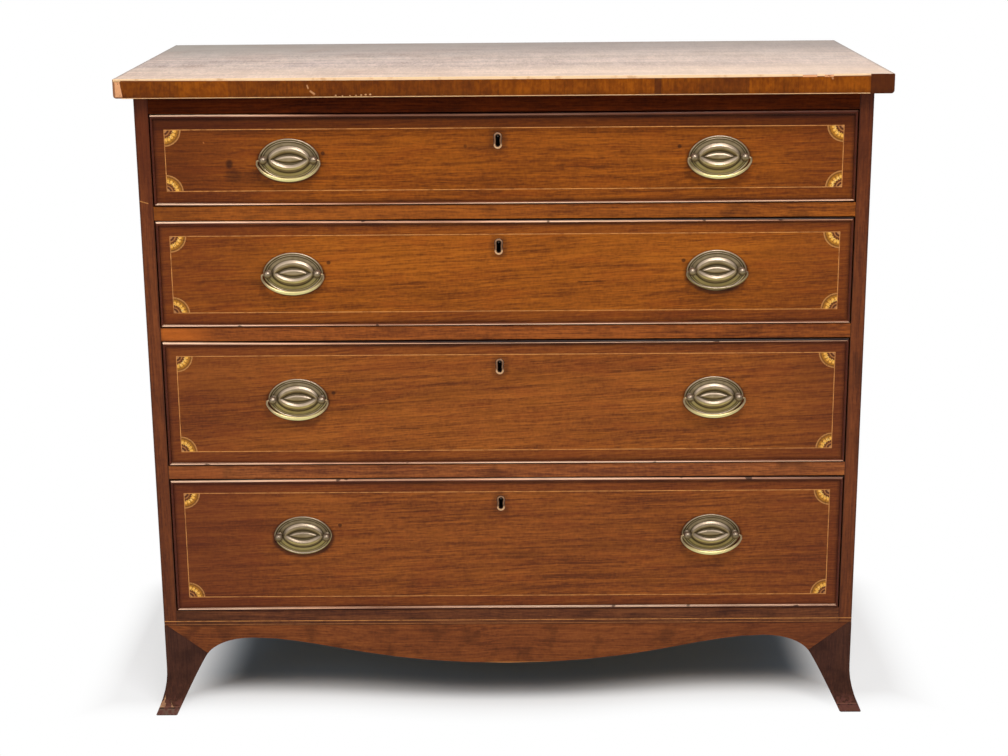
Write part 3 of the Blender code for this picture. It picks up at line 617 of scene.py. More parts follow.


# Finishes

# Each drawer front's tint, and how dark its left and right ends are, part patina and part
# painted shade
FRONT_TINTS = {
    "top": (0.91, 0.86, 0.75),
    "second": (1.01, 1.00, 1.0),
    "third": (0.91, 0.94, 1.75),
    "bottom": (0.83, 0.84, 1.80),
}
END_SHADES = {
    "top": (0.46, 0.30),
    "second": (0.38, 0.28),
    "third": (0.36, 0.42),
    "bottom": (0.54, 0.28),
}
# x, z, radius, stretch and strength
SMUDGES = {
    "top": (
        (-0.372, 0.806, 0.006, 0.8, 0.75),
        (-0.367, 0.790, 0.009, 1.2, 0.45),
        (-0.335, 0.786, 0.010, 3.0, 0.25),
        (-0.030, 0.826, 0.006, 5.0, 0.30),
        (-0.052, 0.828, 0.0024, 1.0, 0.5),
    ),
    "second": ((-0.330, 0.640, 0.006, 4.0, 0.30), (0.080, 0.700, 0.004, 6.0, 0.25)),
    "third": ((-0.285, 0.440, 0.005, 4.0, 0.35), (0.120, 0.500, 0.004, 8.0, 0.25)),
    "bottom": ((0.020, 0.240, 0.006, 6.0, 0.25), (-0.120, 0.310, 0.004, 5.0, 0.2)),
}
FILLED_HOLES = {
    "top": ((-0.245, 0.820), (0.2375, 0.826)),
    "second": ((-0.242, 0.669), (0.2455, 0.669)),
    "third": ((-0.241, 0.483),),
    "bottom": ((-0.238, 0.287),),
}
# Start, end, width, and whether it is pale
SCRATCHES = {
    "top": ((-0.4065, 0.8370), (-0.4045, 0.8335), 0.0010, True),
    "second": ((0.10, 0.640), (0.14, 0.6405), 0.0006, False),
    "third": ((-0.16, 0.430), (-0.12, 0.4305), 0.0006, False),
    "bottom": ((0.05, 0.205), (0.11, 0.2055), 0.0006, False),
}


def drawer_front_finish(drawer, colours, sizes):
    """Mahogany veneer: dirt along the bead, painted shadow and dirt round the brasses,
    filled holes.
    """
    low, high = FRONTS[drawer]
    finish = Finish(f"{drawer}_front_veneer")
    x, _, z = finish.xyz
    middle = scaled_by(colours.mahogany, FRONT_TINTS[drawer])
    seed, grime_and_shade = DRAWER_SEED[drawer], colours.grime_and_shade
    lean = DRAWER_LEAN[drawer]
    finish.shown, height = finish.wood(middle, "x", seed, 1.35, lean=lean)
    redder, yellower = (
        scaled_by(middle, factors) for factors in ((1.05, 0.86, 0.9), (1.06, 1.12, 0.7))
    )
    hue = finish.stain((16, 16, 60), 3, seed + 8, 0.50, 0.70, 0.35, redder)
    finish.coat(hue.step(0.50, 0.30) * 0.30, yellower)
    edge = (high.x - abs(x)).least(z - low.z).least(high.z - z)
    smudge = finish.noise((18, 18, 40), 4, seed)
    border = edge.step(sizes.string_drop + 0.001, sizes.string_drop)
    framing = 0.34
    if drawer == "top":
        framing = z.step(low.z + 0.03, high.z - 0.03, 0.06, framing)
    finish.paint(border * framing, 92, 36, 18)
    finish.coat(edge.step(0.0100, 0.0030) * smudge * 1.1, grime_and_shade)
    # Darker ends: part patina, part painted shade
    left_share, right_share = END_SHADES[drawer]
    ends = x.step(-0.24, -0.45) * left_share + x.step(0.30, 0.47) * right_share
    finish.paint(ends, 86, 34, 20)
    # Painted shadow of the top's overhang along the upper edge, and a darker left end,
    # with dirt
    if drawer == "top":
        shaded = (z.step(0.836, 0.860) * 0.75).most(x.step(-0.34, -0.45) * 0.35)
        finish.coat(shaded, (0.32, 0.24, 0.05), "MULTIPLY")
    # Painted shadow with dirt round each plate, centred a little low so it falls under
    # the bail
    pull = PULLS[f"{drawer}_right"]
    across = (abs(x) - pull.x) / (sizes.plate_width / 2)
    up = (z - pull.z + 0.0032) / (sizes.plate_height / 2)
    plate_shadow_and_dirt = (across * across + up * up).step(1.28, 0.98)
    finish.coat(plate_shadow_and_dirt * (0.2 + smudge), grime_and_shade)
    lock = finish.spot(KEYHOLE_X, KEYHOLE_Z[drawer], 0.017, 0.75, 0.6)
    finish.coat(lock * (smudge * 0.7), grime_and_shade)
    for hole in FILLED_HOLES[drawer]:
        finish.coat(finish.spot(*hole, 0.0026, 1.1, 0.6) * 0.7, grime_and_shade)
    for *patch, strength in SMUDGES[drawer]:
        finish.coat(finish.spot(*patch, 0.9) * strength, grime_and_shade)
    *line, pale = SCRATCHES[drawer]
    tone = scaled(colours.mahogany_light, 1.3) if pale else grime_and_shade
    finish.coat(finish.stroke(*line) * 0.7, tone)
    inside = finish.behind(colours, 8.0, 0.001, 0.0008)
    gloss = 0.34 + smudge * 0.20 + border * 0.05 + inside * 0.35
    return finish.shade(gloss, 0.14, height, GRAIN_LIFT)


# Paler wood at a rail's left end: start, end, fade, z, share and tone
RAIL_PATCHES = {
    "middle_divider_wood": (-0.4790, -0.3900, 0.060, 0.5690, 0.50, (214, 112, 34)),
    "lower_divider_wood": (-0.4790, -0.3970, 0.008, 0.3668, 0.26, (178, 92, 40)),
}


def rail_finish(name, middle, seed, colours, sheen):
    """Case wood: mahogany where it shows, pine behind the front's edge."""
    finish = Finish(name)
    x, _, z = finish.xyz
    finish.shown, height = finish.wood(middle, "x", seed, 1.35)
    dirt = finish.stain((22, 22, 60), 4, seed, 0.50, 0.75, 0.4, colours.grime_and_shade)
    finish.coat(x.step(-0.36, -0.46) * 0.35, scaled(middle, 0.4))
    if name in RAIL_PATCHES:
        start, end, fade, level, share, pale = RAIL_PATCHES[name]
        patch = x.step(start, start + 0.004) * x.step(end, end - fade)
        patch = patch * abs(z - level).step(0.0095, 0.0070)
        patch = patch * dirt.step(0.70, 0.40, 0.5, 1.0)
        finish.paint(patch * share, *pale)
    inside = finish.behind(colours, seed + 3, 0.002, 0.0016)
    return finish.shade(0.42 + dirt * 0.14 + inside * 0.3, sheen, height, GRAIN_LIFT)


def case_finish(colours):
    """The side boards: upright grain, painted shade by the gaps, shade and dirt under the
    top.
    """
    finish = Finish("case_sides")
    x, y, z = finish.xyz
    middle, grime_and_shade = colours.case, colours.grime_and_shade
    finish.shown, height = finish.wood(middle, "z", 11)
    dirt = finish.stain((40, 20, 14), 4, 12, 0.50, 0.74, 0.4, grime_and_shade)
    # Painted shade beside the drawers' openings
    finish.coat(abs(x).step(FRONT_X + 0.0045, FRONT_X + 0.001) * 0.75, grime_and_shade)
    ahead = y.step(FACE + 0.03, FACE)
    # Painted shadow of the top's overhang with dirt, stronger on the left side
    shaded = z.step(0.66, 0.86) * ahead * x.step(0.0, 0.1, 0.62, 0.30)
    finish.paint(shaded, 78, 24, 2)
    finish.coat(z.step(0.30, 0.20) * ahead * 0.2, scaled(middle, 0.3))
    arris = abs(x).step(CASE_X - 0.004, CASE_X) * y.step(FACE + 0.004, FACE)
    finish.coat(arris * 0.45, grime_and_shade)
    crack = finish.stroke((-0.4975, 0.7565), (-0.4840, 0.7525), 0.0009)
    front = y.step(FACE + 0.002, FACE + 0.001)
    finish.coat(crack * front * 0.8, scaled(colours.boxwood, 0.9))
    inner = abs(x).step(FRONT_X + 0.003, FRONT_X + 0.0025)
    inner = inner * y.step(FACE + 0.004, FACE + 0.012)
    pine, _ = finish.wood(scaled(colours.pine, 0.7), "z", 18, 0.6, 0.2)
    finish.coat(inner, pine)
    return finish.shade(0.36 + dirt * 0.2, 0.18, height, GRAIN_LIFT)


def apron_finish(name, colours, axis):
    """Curved base parts. The front one is figured, and rubbed pale at its lowest."""
    finish = Finish(name)
    x, _, z = finish.xyz
    middle, grime_and_shade = colours.apron, colours.grime_and_shade
    finish.shown, height = finish.wood(middle, axis, 21, wander=0.05)
    dirt = finish.stain(30, 4, 22, 0.5, 0.72, 0.4, grime_and_shade)
    if name == "apron_wood":
        slant = finish.noise((7, 7, 90), 3, 23, finish.leaning(0.42))
        figure = slant.step(0.50, 0.66) * x.step(0.04, 0.22)
        finish.coat(figure * 0.4, scaled(middle, 0.35))
        finish.paint(x.step(0.22, 0.38) * 0.36, 78, 34, 22)
        rub = z.step(0.0765, 0.0740) * abs(x - 0.015).step(0.055, 0.035)
        finish.coat(rub * 0.7, scaled(colours.boxwood, 0.8))
        finish.coat(z.step(0.1325, 0.1345) * 0.4, grime_and_shade)
    return finish.shade(0.45 + dirt * 0.2, 0.15, height, 0.00005)


# The left front foot's chips: x, height of the lower end over the cuff, height,
# width, and which way it leans
LEFT_CHIPS = (
    (-0.5058, -0.0012, 0.0165, 0.0098, 1.0),
    (-0.4905, 0.0012, 0.0075, 0.0026, -1.0),
)


def foot_finish(name, colours, toe_tone, chips=()):
    """A foot's dark, upright grain, with a line at its cuff and pale chips above it."""
    finish = Finish(name)
    x, _, z = finish.xyz
    grime_and_shade = colours.grime_and_shade
    finish.shown, height = finish.wood(colours.foot, "z", 24, spread=0.4)
    dirt = finish.stain(30, 4, 25, 0.45, 0.7, 0.5, grime_and_shade)
    ragged = (finish.noise(300, 2, 26) - 0.5) * 0.006
    rise = z - TOE_CUFF
    for chip_x, sink, tall, wide, way in chips:
        lean = (rise - sink) * 0.30
        across = abs(x - chip_x - lean * way) + ragged
        taper = (1.0 - (rise - sink) / tall) * (wide / 2)
        chip = (across - taper).step(0.0006, -0.0006) * rise.step(0.0002, 0.0008)
        finish.paint(chip * 0.9, 190, 144, 104)
    finish.paint(abs(rise - 0.0011).step(0.0008, 0.0003) * 0.35, 168, 120, 96)
    toe = z.step(TOE_CUFF, TOE_CUFF - 0.0008)
    worn = finish.noise((200, 200, 160), 3, 27)
    finish.paint(toe * 0.8, *toe_tone)
    finish.coat(toe * worn.step(0.46, 0.62) * 0.7, grime_and_shade)
    finish.coat(abs(rise + 0.0004).step(0.0011, 0.0006) * 0.85, grime_and_shade)
    finish.coat(z.step(0.0026, 0.0008) * 0.7, grime_and_shade)
    scuffed = z.step(0.030, 0.012) * worn.step(0.42, 0.56)
    finish.paint(scuffed * 0.45, 120, 70, 60)
    return finish.shade(0.5 + dirt * 0.2, 0.15, height + worn * toe, 0.0001)


def top_finish(colours):
    """The top's sun-bleached face, with a painted reflection that is paler to the front
    and greyer to the back, and its bare left end.
    """
    finish = Finish("top_faded")
    x, y, z = finish.xyz
    faded = colours.top
    finish.shown, height = finish.wood(faded, "x", 31, 1.2, 0.34)
    marks = finish.noise(14, 5, 32)
    cloth = finish.noise((60, 16, 16), 3, 36) - 0.5
    streak = finish.noise((4, 34, 34), 3, 37) - 0.5
    grain = finish.noise((420, 75, 75), 2, 34) - 0.5
    worn = (grain * 1.25 + cloth * 0.9 + streak * 1.3).least(0.5).most(-0.5)
    finish.coat(worn.most(0.0), scaled(faded, 1.7))
    calm = y.step(-0.17, -0.06, 0.55, 1.3)
    finish.paint((-worn).most(0.0) * calm, 120, 88, 68)
    # Painted reflection: darker and greyer towards the back, more so on the left
    deep = x.step(0.0, 0.35, 0.90, 0.74)
    finish.paint(y.step(-0.08, 0.235) * deep, 137, 118, 106)
    # Painted reflection: paler along the front
    finish.paint(y.step(-0.085, -0.190) * 0.24, 252, 218, 184)
    # Painted reflection: paler towards the right front
    right = x.step(-0.25, 0.45) * y.step(0.16, 0.0)
    finish.paint(right * 0.24, 248, 218, 192)
    rim = abs(x).step(0.514, 0.519).most(y.step(0.238, 0.2445))
    finish.coat(rim * 0.5, scaled(faded, 0.25))
    red = marks.step(0.50, 0.72) * x.step(0.1, -0.4)
    finish.paint(red * 0.2, 160, 112, 90)
    # Painted reflection: greyer at the back left
    cast = x.step(-0.1, -0.5) * y.step(0.0, 0.2)
    finish.paint(cast * 0.35, 134, 128, 112)
    side = z.step(TOP_HIGH.z - 0.0008, TOP_HIGH.z - 0.0014)
    edge, _ = finish.wood(screen(120, 60, 28), "y", 33)
    finish.coat(side, edge)
    bare = side * y.step(TOP_LOW.y + 0.0030, TOP_LOW.y + 0.0020)
    speck = finish.noise(420, 1, 35).step(0.62, 0.70)
    core = finish.mix(speck, screen(224, 160, 112), screen(150, 96, 62))
    outline = x.step(-0.5158, -0.5180)
    outline = outline.most(z.step(TOP_LOW.z + 0.0035, TOP_LOW.z + 0.0010))
    finish.coat(bare, finish.mix(outline * 0.75, core, screen(96, 50, 26)))
    return finish.shade(0.34 + marks * 0.16 + side * 0.1, 0.22, height, 0.00002)


# x, height over the top's lower face, and radius
EDGE_DOTS = (
    (-0.2230, 0.0028, 0.0009),
    (-0.2140, 0.0022, 0.0007),
    (-0.2040, 0.0024, 0.0007),
    (-0.1960, 0.0026, 0.0008),
    (-0.1890, 0.0030, 0.0010),
    (-0.1830, 0.0034, 0.0011),
    (-0.1770, 0.0036, 0.0011),
)
EDGE_SCRATCHES = (
    ((-0.2612, 0.9150), (-0.2590, 0.9080), 0.0013),
    ((-0.2580, 0.9070), (-0.2500, 0.9010), 0.0017),
    ((0.4360, 0.9200), (0.4385, 0.9160), 0.0016),
)


def banding_finish(colours):
    """The strips of veneer along the top's front edge, each with a tone of its own."""
    finish = Finish("top_edge_veneer")
    z = finish.xyz[2]
    finish.shown, height = finish.wood(screen(126, 62, 8), "z", 41, 0.7, 0.36)
    mottle = finish.stain((52, 52, 70), 3, 42, 0.48, 0.72, 0.4, screen(158, 84, 12))
    finish.paint(mottle.step(0.50, 0.3) * 0.45, 92, 40, 10)
    fleck = finish.stain((240, 240, 150), 2, 44, 0.48, 0.66, 0.22, screen(168, 92, 12))
    finish.paint(fleck.step(0.50, 0.32) * 0.26, 78, 32, 6)
    finish.stain((210, 210, 22), 2, 43, 0.54, 0.70, 0.35, screen(88, 40, 8))
    tone = finish.written("tone")
    finish.paint(tone.step(0.5, 1.0) * 0.8, 186, 98, 14)
    finish.paint(tone.step(0.5, 0.0) * 0.80, 64, 28, 15)
    low = z.step(TOP_LOW.z + 0.009, TOP_LOW.z + 0.001)
    finish.coat(low * 0.25, colours.grime_and_shade)
    for scratch in EDGE_SCRATCHES:
        finish.paint(finish.stroke(*scratch) * 0.75, 206, 150, 100)
    for dot_x, rise, radius in EDGE_DOTS:
        dot = finish.spot(dot_x, TOP_LOW.z + rise, radius, 1.3, 0.7)
        finish.paint(dot * 0.8, 214, 164, 112)
    return finish.shade(0.38, 0.1, height, 0.00003)


def inlay_finish(colours):
    """Boxwood lines, mellowed, with dark flecks of polish."""
    finish = Finish("boxwood_lines")
    finish.shown, _ = finish.wood(colours.boxwood, "x", 51, spread=0.2)
    finish.stain(90, 3, 52, 0.45, 0.70, 0.55, colours.mahogany_dark)
    base = finish.xyz[2].step(0.1380, 0.1370)
    finish.coat(base * 0.55, colours.mahogany_dark)
    return finish.shade(0.42, 0.2)


def pale_line_finish(colours):
    """The top's pale arris lines, worn nearly white."""
    finish = Finish("pale_arris_lines")
    x, _, z = finish.xyz
    finish.shown, _ = finish.wood(screen(214, 168, 118), "x", 53, spread=0.2)
    drop = z - x * x * 0.0085
    upper = drop.step(TOP_HIGH.z - 0.0046, TOP_HIGH.z - 0.0038)
    bare_end = EDGE_BLOCKS[0][0]
    under = z.step(TOP_LOW.z + 0.0020, TOP_LOW.z + 0.0030)
    under = under * x.step(bare_end - 0.001, bare_end)
    finish.paint(under, 122, 62, 10)
    finish.paint(upper, 246, 206, 160)
    finish.stain(70, 3, 54, 0.52, 0.72, 0.4, colours.mahogany_light)
    return finish.shade(0.4, 0.3)


# Where a highlight is painted along each bead, upper run first: its height over the
# drawer's edge at the middle, its slope and its bow
BEAD_HIGHLIGHTS = {
    "top": ((-0.00053, -0.00065, 0.00965), (0.00050, -0.00084, 0.00778)),
    "second": ((-0.00050, -0.00355, 0.00289), (0.00029, -0.00339, 0.00118)),
    "third": ((-0.00216, -0.00417, 0.00627), (0.00161, -0.00163, -0.00060)),
    "bottom": ((0.00093, -0.00032, -0.00429), (0.00330, 0.00161, -0.00231)),
}
# How low and how high on the bead the painted highlight may lie
UPPER_LIMITS = (-0.0020, 0.0014)
LOWER_LIMITS = (0.0008, 0.0031)


def bead_finish(colours):
    """The drawers' beads: dark, with a highlight painted along each level run, and
    painted shade in the gaps above.
    """
    finish = Finish("cockbeads")
    x, y, z = finish.xyz
    finish.shown, _ = finish.wood(screen(74, 28, 12), "x", 61)
    level = finish.written("level")
    # Patches where the painted highlight is brighter or dimmer
    rubbed = finish.noise(9, 3, 62)
    highlight_band, faced_down, above, body = 0.0, 0.0, 0.0, 0.0
    for drawer, runs in BEAD_HIGHLIGHTS.items():
        edges = (FRONTS[drawer][1].z, FRONTS[drawer][0].z)
        for upper, edge, (middle, slope, bow) in zip((True, False), edges, runs):
            lowest, highest = UPPER_LIMITS if upper else LOWER_LIMITS
            line = (x * slope + x * x * bow + middle).most(lowest).least(highest)
            rise = z - line - edge
            lit = 1.0
            # The top drawer's upper highlight is dimmed by painted overhang shadow, and
            # the bottom drawer's fades to the right
            if drawer == "top" and upper:
                lit = x.step(-0.20, -0.36, 0.20, 0.84) * x.step(-0.05, 0.12, 1.0, 0.45)
            if drawer == "bottom" and upper:
                lit = x.step(0.30, 0.44, 0.90, 0.52)
            here = abs(rise).step(0.0016, 0.0005)
            highlight_band = here * lit + highlight_band
            # Where the painted highlight lies on the bead's downward face, it is painted
            # brighter
            if not upper or drawer == "third":
                faced_down = here * x.step(-0.2, 0.05) + faced_down
            near = abs(z - edge).step(0.0080, 0.0075)
            # Painted shadow of the gap over each upper run's highlight
            if upper:
                above = rise.step(0.0012, 0.0020) * near + above
            else:
                body = rise.step(0.0005, 0.0016) * near + body
    finish.paint(level * body * 0.8, 118, 58, 24)
    # The painted highlight is dimmed towards the right end and left of the middle
    ends = (x.step(0.15, 0.44) * 0.42).most(abs(x + 0.15).step(0.15, 0.05) * 0.30)
    ends = ends * (1.0 - faced_down * 0.7)
    painted_highlight = level * highlight_band * rubbed.step(0.36, 0.54, 0.72, 1.0) * (1.0 - ends)
    finish.paint(painted_highlight, 248, 190, 152)
    glint = x.step(-0.28, -0.40) * 0.6
    glint = glint.most(abs(x - 0.09).step(0.14, 0.02) * 0.4)
    glint = glint.most(faced_down * x.step(0.44, 0.20, 0.35, 0.75))
    finish.paint(glint * painted_highlight, 255, 222, 190)
    # Darker where the bead meets the front: dirt and painted shade
    low = y.step(FACE - 0.0016, FACE - 0.0008)
    finish.coat(low * (1.0 - painted_highlight) * 0.85, colours.grime_and_shade)
    # Painted shadow in the gap above the upper runs
    finish.coat(level * above * 0.92, scaled(colours.grime_and_shade, 0.4))
    finish.stain(55, 1, 63, 0.70, 0.74, 0.8, colours.grime_and_shade)
    return finish.shade(0.34, 0.22)


def lining_finish(colours):
    """Drawer linings: dry pine with dirt."""
    finish = Finish("pine_linings")
    finish.shown, height = finish.wood(colours.pine, "y", 71, 0.9, 0.22)
    finish.stain(16, 5, 72, 0.5, 0.8, 0.4, scaled(colours.pine, 0.35))
    return finish.shade(0.75, None, height, 0.00008, Specular_IOR_Level=0.25)


def back_finish():
    """The back's planks: rough pine, brown with age."""
    finish = Finish("pine_back")
    finish.shown, height = finish.wood(screen(150, 116, 82), "x", 81, spread=0.3)
    finish.stain(9, 5, 82, 0.40, 0.85, 0.4, screen(92, 66, 46))
    return finish.shade(0.85, None, height, 0.00012, Specular_IOR_Level=0.2)


def brass_finish(name, colours, bright=1.0, polished=False):
    """Old brass: dusty with a painted reflection where it faces up, painted reflection
    and shade where it faces down, tarnish in the hollows, rubbed at the grip.
    """
    finish = Finish(name)
    tarnished = colours.tarnish
    blotch = finish.noise(120, 4, 91)
    finish.shown = finish.mix(
        blotch.step(0.38, 0.70) * 0.35,
        scaled(colours.brass, bright),
        scaled(tarnished, 1.8 * bright),
    )
    up = finish.split(finish.node("ShaderNodeTexCoord", output="Normal"))[2]
    # Where it faces up: dust, and a painted reflection of the light above
    dust_and_reflection = up.step(0.08, 0.46)
    tarnish = 0.0
    if polished:
        finish.paint(finish.written("grip") * 0.85, 232, 222, 150)
        # Darker where the bail faces down: tarnish and painted shade
        finish.coat(up.step(-0.55, -0.85) * 0.8, tarnished)
        finish.paint(dust_and_reflection * 0.45, 190, 160, 120)
    else:
        tarnish = finish.written("hollow").least(1.0) * (1.0 - dust_and_reflection * 0.45)
        # Painted reflection: olive where the plate faces down
        below = up.step(-0.08, -0.38)
        finish.coat(dust_and_reflection * 0.85, scaled(screen(178, 158, 138), bright))
        finish.coat(below * 0.75, scaled(screen(118, 98, 50), bright))
        # Painted reflection: brighter and yellower on the front-facing parts low on each
        # plate
        z, low = finish.xyz[2], 0.0
        for drawer in DRAWERS:
            foot = PULLS[f"{drawer}_left"].z - 0.017
            low = abs(z - foot).step(0.013, 0.006) + low
        flat = (1.0 - dust_and_reflection) * (1.0 - below) * low
        finish.coat(flat * 0.6, scaled(screen(196, 176, 96), bright))
        # Darker on the lower drawers' brasses
        finish.coat(z.step(0.46, 0.28) * 0.2, tarnished)
        finish.coat(tarnish * 0.92, scaled(tarnished, 0.45))
    fine = finish.noise(900, 2, 92)
    roughness = 0.32 + blotch * 0.14 + tarnish * 0.2
    return finish.shade(roughness, None, fine, 0.00002, Metallic=0.88)


def liner_finish():
    """The keyhole liners: pale cast brass, rubbed by the key at the foot."""
    finish = Finish("liner_brass")
    worn = finish.noise(240, 3, 93)
    finish.shown = finish.mix(worn, screen(140, 98, 64), screen(92, 60, 36))
    for z in KEYHOLE_Z.values():
        foot = finish.spot(KEYHOLE_X, z - 0.0095, 0.0052, 1.6, 0.5)
        finish.paint(foot * 0.9, 214, 168, 120)
        head = finish.spot(KEYHOLE_X, z + 0.0100, 0.0042, 1.6, 0.5)
        finish.paint(head * 0.4, 184, 140, 104)
    return finish.shade(0.4 + worn * 0.2, Metallic=0.2)


def iron_finish(colours):
    """Lock iron: grey, with rust, and black as painted shade where it is seen through the
    keyhole.
    """
    finish = Finish("lock_iron")
    rust = finish.noise(150, 5, 95)
    stained = rust.step(0.45, 0.68) * 0.7
    finish.shown = finish.mix(stained, colours.iron, screen(96, 56, 34))
    # Painted shade: black where the keyhole shows the lock
    keyhole_shade = finish.xyz[1].step(FRONT_BACK - 0.0018, FRONT_BACK - 0.0019)
    finish.coat(keyhole_shade, (0.0, 0.0, 0.0))
    return finish.shade(0.5 + rust * 0.2, None, rust, 0.0001, Metallic=0.8)


def pin_finish():
    """The key's pin, bright where it shows in the hole."""
    finish = Finish("pin_steel")
    rust = finish.noise(400, 3, 96)
    finish.shown = finish.mix(rust, screen(120, 112, 104), screen(70, 56, 46))
    return finish.shade(0.4, Metallic=0.7)


def fan_finish(drawer, sizes):
    """A quarter fan of shaded petals, drawn from its corner by radius and angle."""
    low, high = FRONTS[drawer]
    finish = Finish(f"{drawer}_fan_petals")
    x, _, z = finish.xyz
    across = sizes.string_x - abs(x)
    bottom = z - (low.z + sizes.string_rise)
    up = bottom.least((high.z - sizes.string_drop) - z)
    radius = (across * across + up * up) ** 0.5 * 1000.0
    turn = up.angle(across) / (math.pi / 2)
    fan = radius * (23.0 / (sizes.fan_radius * 1000.0))
    petals = turn * 5.0
    middle = abs(petals - petals.math("FLOOR", petals) - 0.5) * 2.0
    rim = fan - (1.0 - middle * middle) * 1.8
    eye = fan.step(4.0, 5.0)
    finish.shown = finish.mix(eye, screen(178, 122, 74), screen(88, 42, 18))
    finish.paint(fan.step(7.0, 7.6), 168, 110, 58)
    finish.paint(fan.step(8.4, 9.2), 104, 52, 22)
    inner = rim.step(9.8, 11.2)
    finish.paint(inner, 236, 174, 74)
    finish.paint(rim.step(14.4, 16.0), 172, 112, 32)
    glint = finish.noise(300, 1, 98).step(0.52, 0.66)
    glint = glint * inner * rim.step(15.0, 13.0)
    finish.paint(glint * 0.7, 255, 220, 140)
    finish.paint(fan.step(18.6, 19.8) * 0.8, 116, 70, 24)
    finish.paint(fan.step(21.0, 21.8), 184, 126, 68)
    seam = middle.step(0.70, 0.95) * fan.step(20.3, 17.3) * fan.step(8.5, 11.0)
    finish.paint(seam * 0.55, 96, 50, 18)
    finish.stain(420, 2, 99, 0.54, 0.68, 0.6, screen(84, 44, 16))
    return finish.shade(0.42, 0.2)


# Operators

# The rails' tones, seeds and sheens; the top rail's dark tone is dirt and a painted
# shadow of the top's overhang
RAILS = {
    "top_rail": ((78, 28, 4), 13.0, 0.04),
    "upper_divider": ((138, 72, 20), 14.0, 0.15),
    "middle_divider": ((137, 71, 26), 15.0, 0.15),
    "lower_divider": ((143, 79, 38), 16.0, 0.15),
    "bottom_board": ((98, 53, 28), 17.0, 0.15),
}


class CHEST_OT_finishes(bpy.types.Operator):
    """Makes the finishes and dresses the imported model's own pieces in them"""

    bl_idname = "chest.finishes"
    bl_label = "Finishes"

    def execute(self, context):
        colours, sizes = context.scene.chest_colours, context.scene.chest_sizes
        for node, (tone, seed, sheen) in RAILS.items():
            wood = rail_finish(f"{node}_wood", screen(*tone), seed, colours, sheen)
            dress(node, wood)
        case = case_finish(colours)
        foot = foot_finish("foot_wood", colours, (98, 60, 46))
        chipped = foot_finish("chipped_foot_wood", colours, (112, 86, 72), LEFT_CHIPS)
        side_apron = apron_finish("side_apron_wood", colours, "y")
        for side in SIDES:
            dress(f"side_{side}", case)
            dress(f"side_apron_{side}", side_apron)
            dress(f"foot_rear_{side}", foot)
        dress("foot_front_left", chipped)
        dress("foot_front_right", foot)
        dress("front_apron", apron_finish("apron_wood", colours, "x"))
        dress("back_panel", back_finish())
        lining, iron = lining_finish(colours), iron_finish(colours)
        bolt = brass_finish("bolt_brass", colours)
        for drawer in DRAWERS:
            dress(f"{drawer}_drawer_front", drawer_front_finish(drawer, colours, sizes))
            for part in ("side_left", "side_right", "back", "bottom"):
                dress(f"{drawer}_drawer_{part}", lining)
            dress(f"{drawer}_lock_case", iron)
            dress(f"{drawer}_lock_bolt", bolt)
            fan_finish(drawer, sizes)
        for make in (
            top_finish, banding_finish, pale_line_finish, bead_finish, inlay_finish
        ):
            make(colours)
        liner_finish()
        pin_finish()
        brass_finish("plate_brass", colours)
        brass_finish("post_brass", colours, 0.7)
        brass_finish("bail_brass", colours, polished=True)
        brass_finish("dull_bail_brass", colours, 0.7)
        return {"FINISHED"}


# The strips of veneer on the top's front edge: start, end and tone, dark to light
EDGE_BLOCKS = (
    (-0.5085, -0.4360, 0.32),
    (-0.4360, -0.4020, 0.46),
    (-0.4020, -0.3660, 0.60),
    (-0.3660, -0.2700, 0.31),
    (-0.2700, -0.0380, 0.26),
    (-0.0380, -0.0050, 0.37),
    (-0.0050, 0.0620, 0.58),
    (0.0620, 0.1280, 0.37),
    (0.1280, 0.2010, 0.57),
    (0.2010, 0.2100, 0.12),
    (0.2100, 0.2610, 0.36),
    (0.2610, 0.3270, 0.24),
    (0.3270, 0.3600, 0.54),
    (0.3600, 0.3930, 0.38),
    (0.3930, STRIPS_END, 0.60),
    (STRIPS_END, 0.5199, 0.0),
)
UPPER_LINE_RUNS = ((-0.5190, 0.3975), (0.4165, 0.4265), (0.4385, STRIPS_END))


